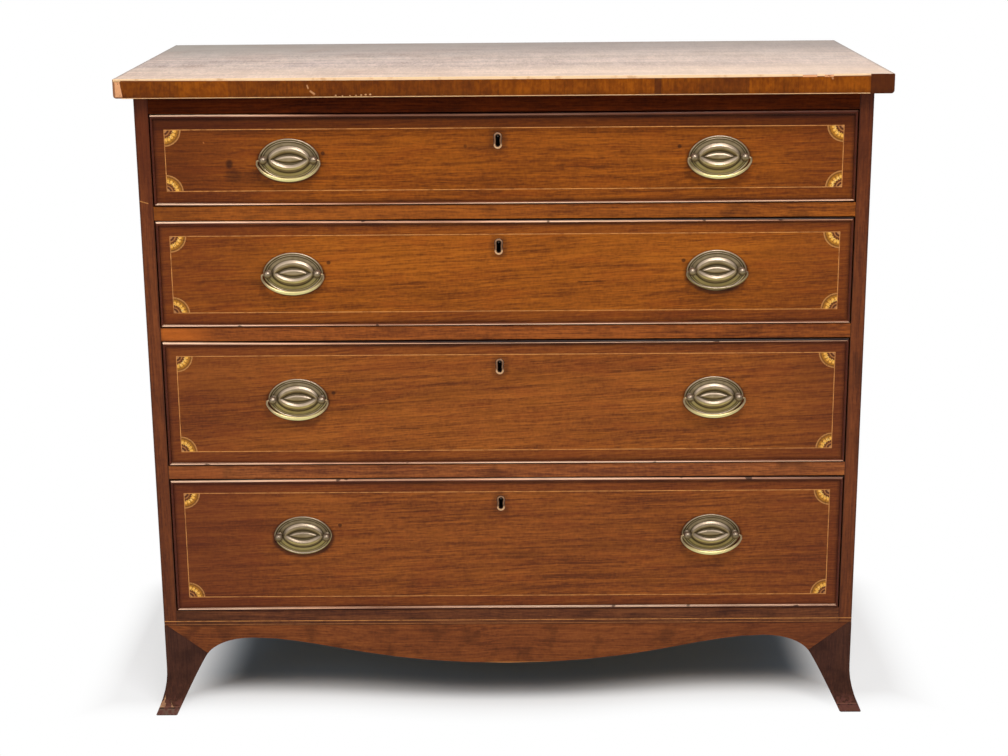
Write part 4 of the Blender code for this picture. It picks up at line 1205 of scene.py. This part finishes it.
class CHEST_OT_top(bpy.types.Operator):
    """Builds the top: a core, strips of veneer on its front edge and pale arris lines"""

    bl_idname = "chest.top"
    bl_label = "Top"
    veneer = 0.0002
    strip = 0.0007
    round_low = 0.0042
    round_high = 0.0016
    slant = 0.15
    lost_veneer = 0.0004
    arris = 0.0007
    line_depth = 0.0016
    line_arris = 0.0005
    lower_line = 0.0013
    bare_end = EDGE_BLOCKS[0][0]

    def core(self):
        middle, size = (TOP_LOW + TOP_HIGH) / 2, TOP_HIGH - TOP_LOW
        begin()
        bpy.ops.mesh.primitive_cube_add(size=1, location=middle)
        piece = started("top_core")
        stretch(size, middle)

        def low_end(v):
            return abs(abs(world(v).x) - TOP_HIGH.x) < NEAR and world(v).z < middle.z

        pick("EDGE", lambda edge: all(low_end(v) for v in edge.verts))
        bpy.ops.mesh.bevel(offset=self.round_low, segments=5)
        pick("FACE", lambda face: face.normal.y < -0.9)
        move(y=self.veneer)
        pick("FACE", lambda face: face.normal.z > 0.9)
        move(z=-self.veneer)
        bpy.ops.mesh.select_all(action="SELECT")
        bpy.ops.mesh.bisect(
            plane_co=(self.bare_end, 0, middle.z), plane_no=(1, 0, self.slant)
        )
        pick(
            "FACE",
            lambda face: face.normal.y < -0.9
            and (piece.matrix_world @ face.calc_center_median()).x < self.bare_end,
        )
        move(y=self.lost_veneer)
        modify(piece, "BEVEL", width=self.arris, segments=2, limit_method="ANGLE")
        settle(piece, 40.0)
        attach(piece, "carcass", "case_mahogany", "top_faded", "top_board")

    def banding(self, sizes):
        strips = []
        for start, end, tone in EDGE_BLOCKS:
            low = TOP_LOW.z + self.lower_line - NEAR
            high = TOP_HIGH.z - sizes.top_string + self.veneer
            is_last = start == STRIPS_END
            if is_last:
                low, high = TOP_LOW.z, TOP_HIGH.z - 0.0003
            piece = sheet("strip", (start, end), (low, high), TOP_LOW.y + NEAR)
            if start == self.bare_end:
                for z in (low, high):
                    pick(
                        "VERT",
                        lambda v: world(v).x < start + NEAR
                        and abs(world(v).z - z) < NEAR,
                    )
                    move(((low + high) / 2 - z) * self.slant)
            if is_last:
                for z, reach in ((low, self.round_low), (high, self.round_high)):
                    pick(
                        "VERT",
                        lambda v: world(v).x > start + 0.01
                        and abs(world(v).z - z) < NEAR,
                    )
                    bpy.ops.mesh.bevel(offset=reach, segments=5, affect="VERTICES")
            thicken(piece, self.strip)
            settle(piece)
            write(piece, "tone", "POINT", [tone] * len(piece.data.vertices))
            strips.append(piece)
        begin()
        for piece in strips:
            piece.select_set(True)
        bpy.context.view_layer.objects.active = strips[0]
        bpy.ops.object.join()
        named(strips[0], "top_edge_veneer")
        attach(strips[0], "carcass", "case_mahogany", "top_edge_veneer")

    def line(self, name, run, low, high):
        """A square line let into an arris of the front, rounded on its outer edge."""
        piece = sheet(name, run, (low, high), TOP_LOW.y)
        push(self.line_depth)
        modify(piece, "BEVEL", width=self.line_arris, segments=3, limit_method="ANGLE")
        settle(piece, 40.0)
        attach(piece, "carcass", "case_mahogany", "pale_arris_lines")

    def execute(self, context):
        sizes = context.scene.chest_sizes
        self.core()
        self.banding(sizes)
        low, high = TOP_LOW.z, TOP_HIGH.z
        for index, run in enumerate(UPPER_LINE_RUNS):
            self.line(f"top_upper_line_{index}", run, high - sizes.top_string, high)
        run = (self.bare_end, STRIPS_END)
        self.line("top_lower_line", run, low, low + self.lower_line)
        return {"FINISHED"}


class CHEST_OT_beads(bpy.types.Operator):
    """Runs a half-round bead round each drawer"""

    bl_idname = "chest.beads"
    bl_label = "Beads"
    steps = 8
    spare = 0.0001

    def execute(self, context):
        sizes = context.scene.chest_sizes
        width, radius = sizes.bead_width, sizes.bead_width / 2
        reach = SUNK + sizes.bead_proud - radius
        for drawer in DRAWERS:
            low, high = FRONTS[drawer]
            piece = sheet(
                f"{drawer}_cockbead",
                (low.x - self.spare, high.x + self.spare),
                (low.z - self.spare, high.z + self.spare),
                FACE + SUNK,
            )
            push(-reach)
            last = (0.0, 0.0)
            for step in range(1, self.steps + 1):
                turn = math.pi * step / self.steps
                here = (radius * (1 - math.cos(turn)), radius * math.sin(turn))
                bpy.ops.mesh.inset(thickness=here[0] - last[0], depth=here[1] - last[1])
                last = here
            push(reach)
            bpy.ops.mesh.delete(type="FACE")
            back = FACE + SUNK - NEAR
            pick("FACE", lambda face: all(world(v).y > back for v in face.verts))
            bpy.ops.mesh.delete(type="ONLY_FACE")
            pick("EDGE", lambda edge: edge.is_boundary)
            bpy.ops.mesh.bridge_edge_loops()
            inner = high.z + self.spare - width
            pick("VERT", lambda v: world(v).z > inner - 0.00001)
            stretch((1, 1, (width + sizes.bead_spread) / width), (0, 0, inner))
            settle(piece)
            is_level = [abs(face.normal.x) < 0.01 for face in piece.data.polygons]
            write(piece, "level", "FACE", is_level)
            attach(piece, f"{drawer}_drawer", "dark_mahogany", "cockbeads")
        return {"FINISHED"}


# z and width of the two lines on the base
BASE_STRINGS = {
    "base_string_upper": (0.1408, 0.0009),
    "base_string_lower": (0.1358, 0.0008),
}


class CHEST_OT_strings(bpy.types.Operator):
    """Lets the light lines into the drawers and the base"""

    bl_idname = "chest.strings"
    bl_label = "String lines"

    def execute(self, context):
        sizes = context.scene.chest_sizes
        y = FACE - sizes.string_proud
        for drawer in DRAWERS:
            low, high = FRONTS[drawer]
            piece = sheet(
                f"{drawer}_stringing",
                (-sizes.string_x, sizes.string_x),
                (low.z + sizes.string_rise, high.z - sizes.string_drop),
                y,
            )
            bpy.ops.mesh.inset(thickness=sizes.string_width, depth=0)
            bpy.ops.mesh.delete(type="FACE")
            thicken(piece)
            settle(piece)
            attach(piece, f"{drawer}_drawer", "dark_mahogany", "boxwood_lines")
        end = CASE_X - 0.0003
        for name, (z, width) in BASE_STRINGS.items():
            piece = sheet(name, (-end, end), (z - width / 2, z + width / 2), y)
            thicken(piece)
            modify(piece, "BEVEL", width=0.00008, segments=2)
            settle(piece)
            attach(piece, "carcass", "case_mahogany", "boxwood_lines")
        return {"FINISHED"}


class CHEST_OT_fans(bpy.types.Operator):
    """Sets a quarter fan in each corner of each drawer's line"""

    bl_idname = "chest.fans"
    bl_label = "Corner fans"

    def fan(self, name, corner, radius, x_side, z_side):
        piece = disc(name, corner, radius, radius)
        bpy.ops.mesh.bisect(plane_co=corner, plane_no=(x_side, 0, 0), clear_outer=True)
        bpy.ops.mesh.select_all(action="SELECT")
        bpy.ops.mesh.bisect(plane_co=corner, plane_no=(0, 0, -z_side), clear_outer=True)
        thicken(piece)
        return settle(piece)

    def execute(self, context):
        sizes = context.scene.chest_sizes
        y = FACE - sizes.string_proud * 0.8
        for drawer in DRAWERS:
            low, high = FRONTS[drawer]
            levels = (
                ("upper", high.z - sizes.string_drop, -1),
                ("lower", low.z + sizes.string_rise, 1),
            )
            for side, x_side in SIDES.items():
                for level, z, z_side in levels:
                    name = f"{drawer}_fan_{level}_{side}"
                    corner = (x_side * sizes.string_x, y, z)
                    piece = self.fan(name, corner, sizes.fan_radius, x_side, z_side)
                    finish = f"{drawer}_fan_petals"
                    attach(piece, f"{drawer}_drawer", "dark_mahogany", finish)
        return {"FINISHED"}


# A pin's rows in millimetres: radius and distance from its foot
PIN_ROWS = ((1.3, 0.0), (1.3, -6.0), (1.1, -6.5), (0.6, -6.8))


class CHEST_OT_keyholes(bpy.types.Operator):
    """Fits each keyhole's brass liner and the lock's pin"""

    bl_idname = "chest.keyholes"
    bl_label = "Keyholes"
    height = 0.017
    head = 0.0033
    foot = 0.0027
    waist = ((0.0042, 0.98), (0.0032, 0.95), (0.0020, 0.97))
    rim_steps = ((0.18, 0.00025), (0.64, 0), (0.18, -0.0003))
    depth = 0.001
    corners = 48
    pin_y = FACE + 0.011

    def liner(self, name, head_z, foot_z, rim):
        """A keyhole's outline with a waist, and a low rim raised from it."""
        y, radius = FACE - NEAR, self.head + rim
        piece = disc(name, (KEYHOLE_X, y, head_z), radius, radius, self.corners)
        pick("VERT", lambda v: world(v).z < head_z - NEAR)
        move(z=foot_z - head_z)
        pick("EDGE", lambda edge: edge.calc_length() > 0.004)
        bpy.ops.mesh.subdivide(number_cuts=7)
        middle = (head_z + foot_z) / 2
        for reach, share in self.waist:
            pick("VERT", lambda v: abs(world(v).z - middle) < reach)
            stretch((share, 1, 1), (KEYHOLE_X, y, foot_z))
        pick("FACE", lambda face: True)
        mark(0.0)
        for share, depth in self.rim_steps:
            bpy.ops.mesh.inset(thickness=rim * share, depth=depth)
        bpy.ops.mesh.delete(type="FACE")
        thicken(piece, self.depth)
        return settle(piece)

    def pin(self, name, z):
        place = Vector((KEYHOLE_X, self.pin_y, z))
        rows = [(radius / 1000, radius / 1000, y / 1000, 0) for radius, y in PIN_ROWS]
        piece = disc(name, place, rows[0][0], rows[0][1], 24)
        turn_rings(place, rows)
        bpy.ops.mesh.merge(type="CENTER")
        return settle(piece)

    def execute(self, context):
        rim = context.scene.chest_sizes.liner_width
        made = {}
        for drawer in DRAWERS:
            z = KEYHOLE_Z[drawer]
            liner_name, pin_name = f"{drawer}_keyhole_liner", f"{drawer}_key_pin"
            if not made:
                head_z = z + self.height / 2 - self.head
                foot_z = z - self.height / 2 + self.foot
                liner = self.liner(liner_name, head_z, foot_z, rim)
                pin = self.pin(pin_name, head_z)
                made = {"liner": liner, "pin": pin, "z": z}
            else:
                offset = (0, 0, z - made["z"])
                liner = copied(made["liner"], liner_name, offset)
                pin = copied(made["pin"], pin_name, offset)
            attach(liner, f"{drawer}_drawer", "brass", "liner_brass")
            attach(pin, f"{drawer}_drawer", "lock_iron", "pin_steel")
        return {"FINISHED"}


# Rings of brass, from the back to the front, in millimetres. A plate's rows hold its
# half width, half height, height over the drawer and hollow
PLATE_SIZE = (0.083, 0.057)
PLATE_ROWS = (
    (41.2, 28.5, 0.0, 0.7), (41.2, 28.5, 0.8, 0.6), (40.9, 28.2, 1.4, 0.1),
    (40.1, 27.4, 1.8, 0.0), (39.2, 26.5, 1.5, 0.1), (38.6, 25.9, 0.8, 1.0),
    (37.9, 25.4, 0.6, 1.0), (37.1, 24.8, 0.95, 0.2), (36.5, 24.3, 0.95, 0.2),
    (35.7, 23.7, 0.6, 1.0), (33.8, 21.9, 0.45, 0.25), (31.4, 19.9, 0.45, 0.25),
    (29.4, 18.2, 0.5, 1.0), (28.7, 17.5, 0.9, 0.6), (28.2, 16.7, 1.6, 0.1),
    (27.7, 15.7, 2.4, 0.0), (27.1, 14.6, 3.0, 0.0), (26.5, 13.5, 3.3, 0.0),
    (25.9, 12.4, 3.3, 0.0), (25.3, 11.3, 3.1, 0.0), (24.7, 10.3, 2.6, 0.1),
    (24.1, 9.4, 1.9, 0.3), (23.5, 8.6, 1.2, 0.6), (23.0, 8.0, 0.8, 1.0),
    (22.4, 7.4, 0.6, 1.0), (21.2, 5.9, 0.55, 0.6), (20.3, 4.9, 0.55, 1.0),
    (20.0, 4.4, 0.8, 0.9), (19.6, 3.5, 1.4, 0.2), (19.1, 2.1, 1.9, 0.0),
    (18.5, 0.7, 2.1, 0.0),
)
# A post's rows: radius, distance behind the bail's axis and hollow
POST_ROWS = (
    (4.8, 10.3, 1.0), (4.9, 9.8, 0.8), (4.7, 8.9, 0.3), (4.0, 8.2, 0.8),
    (3.3, 7.8, 1.0), (3.1, 6.0, 1.0), (3.6, 5.0, 1.0), (4.9, 3.4, 0.8),
    (5.6, 1.9, 0.6), (5.85, 0.2, 0.3), (5.6, -1.6, 0.1), (4.8, -3.3, 0.0),
    (3.4, -4.7, 0.0), (1.7, -5.6, 0.0), (0.4, -5.85, 0.0),
)
# A rod's and its nut's rows: radius and distance behind the drawer's face
ROD_ROWS = (
    (2.0, -0.3), (2.0, 20.0), (5.5, 20.3), (5.5, 23.0), (4.8, 23.6), (2.0, 23.6),
    (2.0, 25.0), (1.4, 25.5),
)
SEAT = 0.0003
# A plate's rings are ovals down to this half width, and turn into lenses below it
OVAL_TO = 0.0270
OVAL_FADE = 0.0035
OVAL_POINT = 0.12


def pointedness(half_width):
    """How far a plate's ring is drawn towards a lens: hardly at the rim, fully inside."""
    return min(1.0, max(OVAL_POINT, (OVAL_TO - half_width) / OVAL_FADE))


class CHEST_OT_pulls(bpy.types.Operator):
    """Makes the oval plates, their posts and the bails"""

    bl_idname = "chest.pulls"
    bl_label = "Pulls"
    bail_end = 0.0015
    bail_pin = 0.00135
    pin_depth = 0.004
    elbow = 0.003
    arm_start = 10
    arm_turn = 160
    arm_steps = 36
    worn_from = 0.45
    worn_over = 0.5
    rod_hollow = 0.4

    def plate(self, name, centre, sizes):
        back = FACE - SEAT
        middle = Vector((centre.x, back, centre.z))
        wide, high = sizes.plate_width / PLATE_SIZE[0], sizes.plate_height / PLATE_SIZE[1]
        rows = [
            (a * wide / 1000, b * high / 1000, back - y / 1000, hollow)
            for a, b, y, hollow in PLATE_ROWS
        ]
        piece = disc(name, middle, rows[0][0], rows[0][1])
        turn_rings(middle, rows, pointedness)
        return settle(piece, 50.0)

    def turned(self, name, start, rows, corners, smooth=35.0):
        piece = disc(name, start, rows[0][0], rows[0][1], corners)
        turn_rings(start, rows)
        bpy.ops.mesh.merge(type="CENTER")
        return settle(piece, smooth)

    def post(self, name, centre):
        rows = [
            (radius / 1000, radius / 1000, centre.y + y / 1000, hollow)
            for radius, y, hollow in POST_ROWS
        ]
        start = Vector((centre.x, rows[0][2], centre.z))
        return self.turned(name, start, rows, 32, 50.0)

    def rod(self, name, centre):
        rows = [
            (radius / 1000, radius / 1000, FACE + y / 1000, self.rod_hollow)
            for radius, y in ROD_ROWS
        ]
        start = Vector((centre.x, FACE - SEAT, centre.z))
        return self.turned(name, start, rows, 24)

    def bail(self, name, centre, width, drop, grip):
        """A bail from post to post, thin at the pins and full at the grip."""
        begin()
        bpy.ops.curve.primitive_bezier_curve_add(location=tuple(centre))
        curve = named(bpy.context.object, name).data
        curve.bevel_depth = 1.0
        curve.bevel_resolution = 4
        curve.resolution_u = 1
        curve.use_fill_caps = True
        curve.splines.clear()
        end = self.bail_end
        half = width / 2 - end
        arm = []
        for step in range(self.arm_steps + 1):
            turn = math.radians(self.arm_start + self.arm_turn * step / self.arm_steps)
            radius = end + (grip - end) * math.sin(turn) ** 2
            arm.append((half * math.cos(turn), -drop * math.sin(turn), radius))
        inset = self.elbow * (1 - math.cos(math.radians(45)))
        pin_x = POST_X + BALL_RADIUS - self.pin_depth
        start = [(pin_x, 0, self.bail_pin), (half - self.elbow, 0, self.bail_pin)]
        start += [(half - inset, -inset, end)]
        points = start + arm + [(-x, z, radius) for x, z, radius in reversed(start)]
        spline = curve.splines.new("POLY")
        spline.points.add(len(points) - 1)
        for point, (x, z, radius) in zip(spline.points, points):
            point.co = (x, 0, z, 1)
            point.radius = radius
        bpy.ops.object.convert(target="MESH")
        piece = settle(bpy.context.object, 60.0)
        depths = [(centre.z - vertex.co.z) / drop for vertex in piece.data.vertices]
        worn = [(depth - self.worn_from) / self.worn_over for depth in depths]
        write(piece, "grip", "POINT", [min(1.0, max(0.0, share)) for share in worn])
        return piece

    def first_pull(self, pull, centre, sizes):
        made = {"plate": self.plate(f"{pull}_oval_plate", centre, sizes)}
        for end, offset in (("inner", POST_X), ("outer", -POST_X)):
            place = centre + Vector((offset, 0, 0))
            made[f"post_{end}"] = self.post(f"{pull}_post_{end}", place)
            made[f"rod_{end}"] = self.rod(f"{pull}_rod_{end}", place)
        form = (sizes.bail_width, sizes.bail_drop, sizes.bail_grip)
        made["bail"] = self.bail(f"{pull}_bail_swell", centre, *form)
        return made

    def next_pull(self, pull, made, offset):
        """Copies of the first pull's pieces, but for the bails that are odd or lost."""
        return {
            kind: copied(original, original.name.replace("top_left", pull), offset)
            for kind, original in made.items()
            if kind != "bail" or pull not in (BARE_PULL, SLIM_PULL)
        }

    def execute(self, context):
        sizes = context.scene.chest_sizes
        slim = (sizes.slim_bail_width, sizes.slim_bail_drop, sizes.slim_bail_grip)
        made = {}
        for drawer in DRAWERS:
            for side in SIDES:
                pull, body = f"{drawer}_{side}", f"{drawer}_drawer"
                centre = Vector((PULLS[pull].x, AXIS_Y, PULLS[pull].z))
                if not made:
                    first = centre
                    pieces = made = self.first_pull(pull, centre, sizes)
                else:
                    pieces = self.next_pull(pull, made, centre - first)
                if pull == SLIM_PULL:
                    pieces["bail"] = self.bail(f"{pull}_bail_swell", centre, *slim)
                bail_finish = "dull_bail_brass" if pull == SLIM_PULL else "bail_brass"
                for kind, piece in pieces.items():
                    if kind == "plate":
                        node = f"{drawer}_pull_plate_{side}"
                        attach(piece, body, "brass", "plate_brass", node)
                    elif kind == "bail":
                        node = f"{drawer}_bail_{side}"
                        attach(piece, f"{pull}_bail", "brass", bail_finish, node)
                    else:
                        attach(piece, body, "brass", "post_brass")
        return {"FINISHED"}


# The camera, fitted to the front's straight edges and the top's corners
CAMERA_PLACE = (0.015, -2.7568, 1.1944)
CAMERA_LENS = 67.114
CAMERA_TURN = (-0.389, 15.275, -0.470)
# Each lamp's place, target, width and power
LAMPS = {
    "key": ((0.6, -2.2, 3.3), (0, 0, 0.5), 1.2, 72),
    "fill": ((-1.9, -2.6, 2.0), (0, 0, 0.5), 1.4, 17),
    "overhead": ((0, 0.2, 3.2), (0, 0, 0.9), 2.4, 18),
}
WHITE = (1, 1, 1)
FLOOR_RADIUS = 40
SHADOW = (0.245, 0.325, 0.43)


class CHEST_OT_stage(bpy.types.Operator):
    """Lays the pale floor, hangs the soft lamps and sets up the camera"""

    bl_idname = "chest.stage"
    bl_label = "Stage"

    def floor(self):
        """A grey floor with a painted cool shadow under the chest, white to the eye
        further out, and partly white beside the feet to lighten the shadow there.
        """
        begin()
        bpy.ops.mesh.primitive_circle_add(
            vertices=96, radius=FLOOR_RADIUS, fill_type="NGON", location=(0, 0, -0.0002)
        )
        piece = started("floor")
        bpy.ops.object.mode_set(mode="OBJECT")
        finish = Finish("pale_floor")
        x, y, _ = finish.xyz
        across = (abs(x) - CASE_X).most(0.0)
        ahead = (abs(y + 0.01) - 0.235).most(0.0)
        away = (across * across + ahead * ahead) ** 0.5
        # Painted shadow: a darker, cooler floor under the chest, reaching further forward
        # in the middle
        slid = y + abs(x).step(0.30, 0.02) * 0.028 - x.step(0.05, 0.35) * 0.009
        pool = (abs(x) - 0.42).most(0.0)
        depth = (abs(slid - 0.08) - 0.16).most(0.0)
        under = ((pool * pool + depth * depth) ** 0.5).step(0.10, 0.0)
        tone = finish.mix(under, (0.92, 0.92, 0.92), SHADOW)
        far = away.step(0.0, 0.15).most(slid.step(-0.100, -0.255))
        # Beside the feet the floor shows partly white, which lightens the shadow there
        far = far.most(x.step(-0.395, -0.525) * 0.62).most(x.step(0.42, 0.52) * 0.5)
        shown = (finish.ray("Camera") * far).most(finish.ray("Glossy"))
        diffuse = finish.node("ShaderNodeBsdfDiffuse", {"Color": tone})
        bright = finish.node("ShaderNodeEmission", {"Color": WHITE, "Strength": 1.0})
        shaders = {0: shown, 1: diffuse, 2: bright}
        finish.finished(finish.node("ShaderNodeMixShader", shaders))
        piece.data.materials.append(finish.material)

    def room(self):
        """A white backdrop, dim as light, and dark in reflections from the front."""
        made = bpy.data.worlds.new("studio")
        bpy.context.scene.world = made
        made.use_nodes = True
        sky = Finish("studio", made.node_tree)
        _, y, z = sky.split(sky.node("ShaderNodeTexCoord", output="Generated"))
        camera, gloss = sky.ray("Camera"), sky.ray("Glossy")
        seen = y.step(-0.35, 0.6, 0.06, 1.0).most(z.step(0.12, 0.6, 0.0, 1.0))
        level = (seen * gloss).most(camera).most((1.0 - gloss) * (1.0 - camera) * 0.34)
        background = sky.node("ShaderNodeBackground", {"Color": WHITE, "Strength": level})
        sky.finished(background, "ShaderNodeOutputWorld")

    def lamp(self, name, place, target, width, power):
        begin()
        bpy.ops.object.light_add(type="AREA", location=place)
        lamp = named(bpy.context.object, name)
        lamp.data.shape = "SQUARE"
        lamp.data.size = width
        lamp.data.energy = power
        aim = Vector(target) - Vector(place)
        lamp.rotation_euler = aim.to_track_quat("-Z", "Y").to_euler()

    def camera(self):
        begin()
        bpy.ops.object.camera_add(location=CAMERA_PLACE)
        camera = named(bpy.context.object, "photo_camera")
        camera.data.sensor_width = 36.0
        camera.data.lens = CAMERA_LENS
        camera.data.clip_end = 200
        yaw, pitch, roll = (math.radians(angle) for angle in CAMERA_TURN)
        level = math.cos(pitch)
        ahead = Vector((math.sin(yaw) * level, math.cos(yaw) * level, -math.sin(pitch)))
        right = Vector((math.cos(yaw), -math.sin(yaw), 0))
        up = right.cross(ahead)
        across = right * math.cos(roll) + up * math.sin(roll)
        upward = up * math.cos(roll) - right * math.sin(roll)
        turn = Matrix((across, upward, -ahead)).transposed().to_4x4()
        camera.matrix_world = Matrix.Translation(camera.location) @ turn
        bpy.context.scene.camera = camera

    def execute(self, context):
        self.floor()
        self.room()
        for name, settings in LAMPS.items():
            self.lamp(name, *settings)
        self.camera()
        context.scene.view_settings.view_transform = "Standard"
        return {"FINISHED"}


class CHEST_PT_pieces(bpy.types.Panel):
    """Lists the steps and the sizes and colours that they use"""

    bl_label = "Chest of drawers"
    bl_idname = "CHEST_PT_pieces"
    bl_space_type = "VIEW_3D"
    bl_region_type = "UI"
    bl_category = "Chest"

    def draw(self, context):
        layout = self.layout
        for step in STEPS:
            layout.operator(step.bl_idname)
        for group in (context.scene.chest_sizes, context.scene.chest_colours):
            box = layout.box()
            for name in group.__annotations__:
                box.prop(group, name)


STEPS = (
    CHEST_OT_finishes,
    CHEST_OT_top,
    CHEST_OT_beads,
    CHEST_OT_strings,
    CHEST_OT_fans,
    CHEST_OT_keyholes,
    CHEST_OT_pulls,
    CHEST_OT_stage,
)
CLASSES = (ChestSizes, ChestColours, *STEPS, CHEST_PT_pieces)


def register():
    for kind in CLASSES:
        bpy.utils.register_class(kind)
    bpy.types.Scene.chest_sizes = bpy.props.PointerProperty(type=ChestSizes)
    bpy.types.Scene.chest_colours = bpy.props.PointerProperty(type=ChestColours)


def unregister():
    del bpy.types.Scene.chest_colours
    del bpy.types.Scene.chest_sizes
    for kind in reversed(CLASSES):
        bpy.utils.unregister_class(kind)


def main():
    register()
    bpy.ops.chest.finishes()
    bpy.ops.chest.top()
    bpy.ops.chest.beads()
    bpy.ops.chest.strings()
    bpy.ops.chest.fans()
    bpy.ops.chest.keyholes()
    bpy.ops.chest.pulls()
    bpy.ops.chest.stage()


if __name__ == "__main__":
    main()
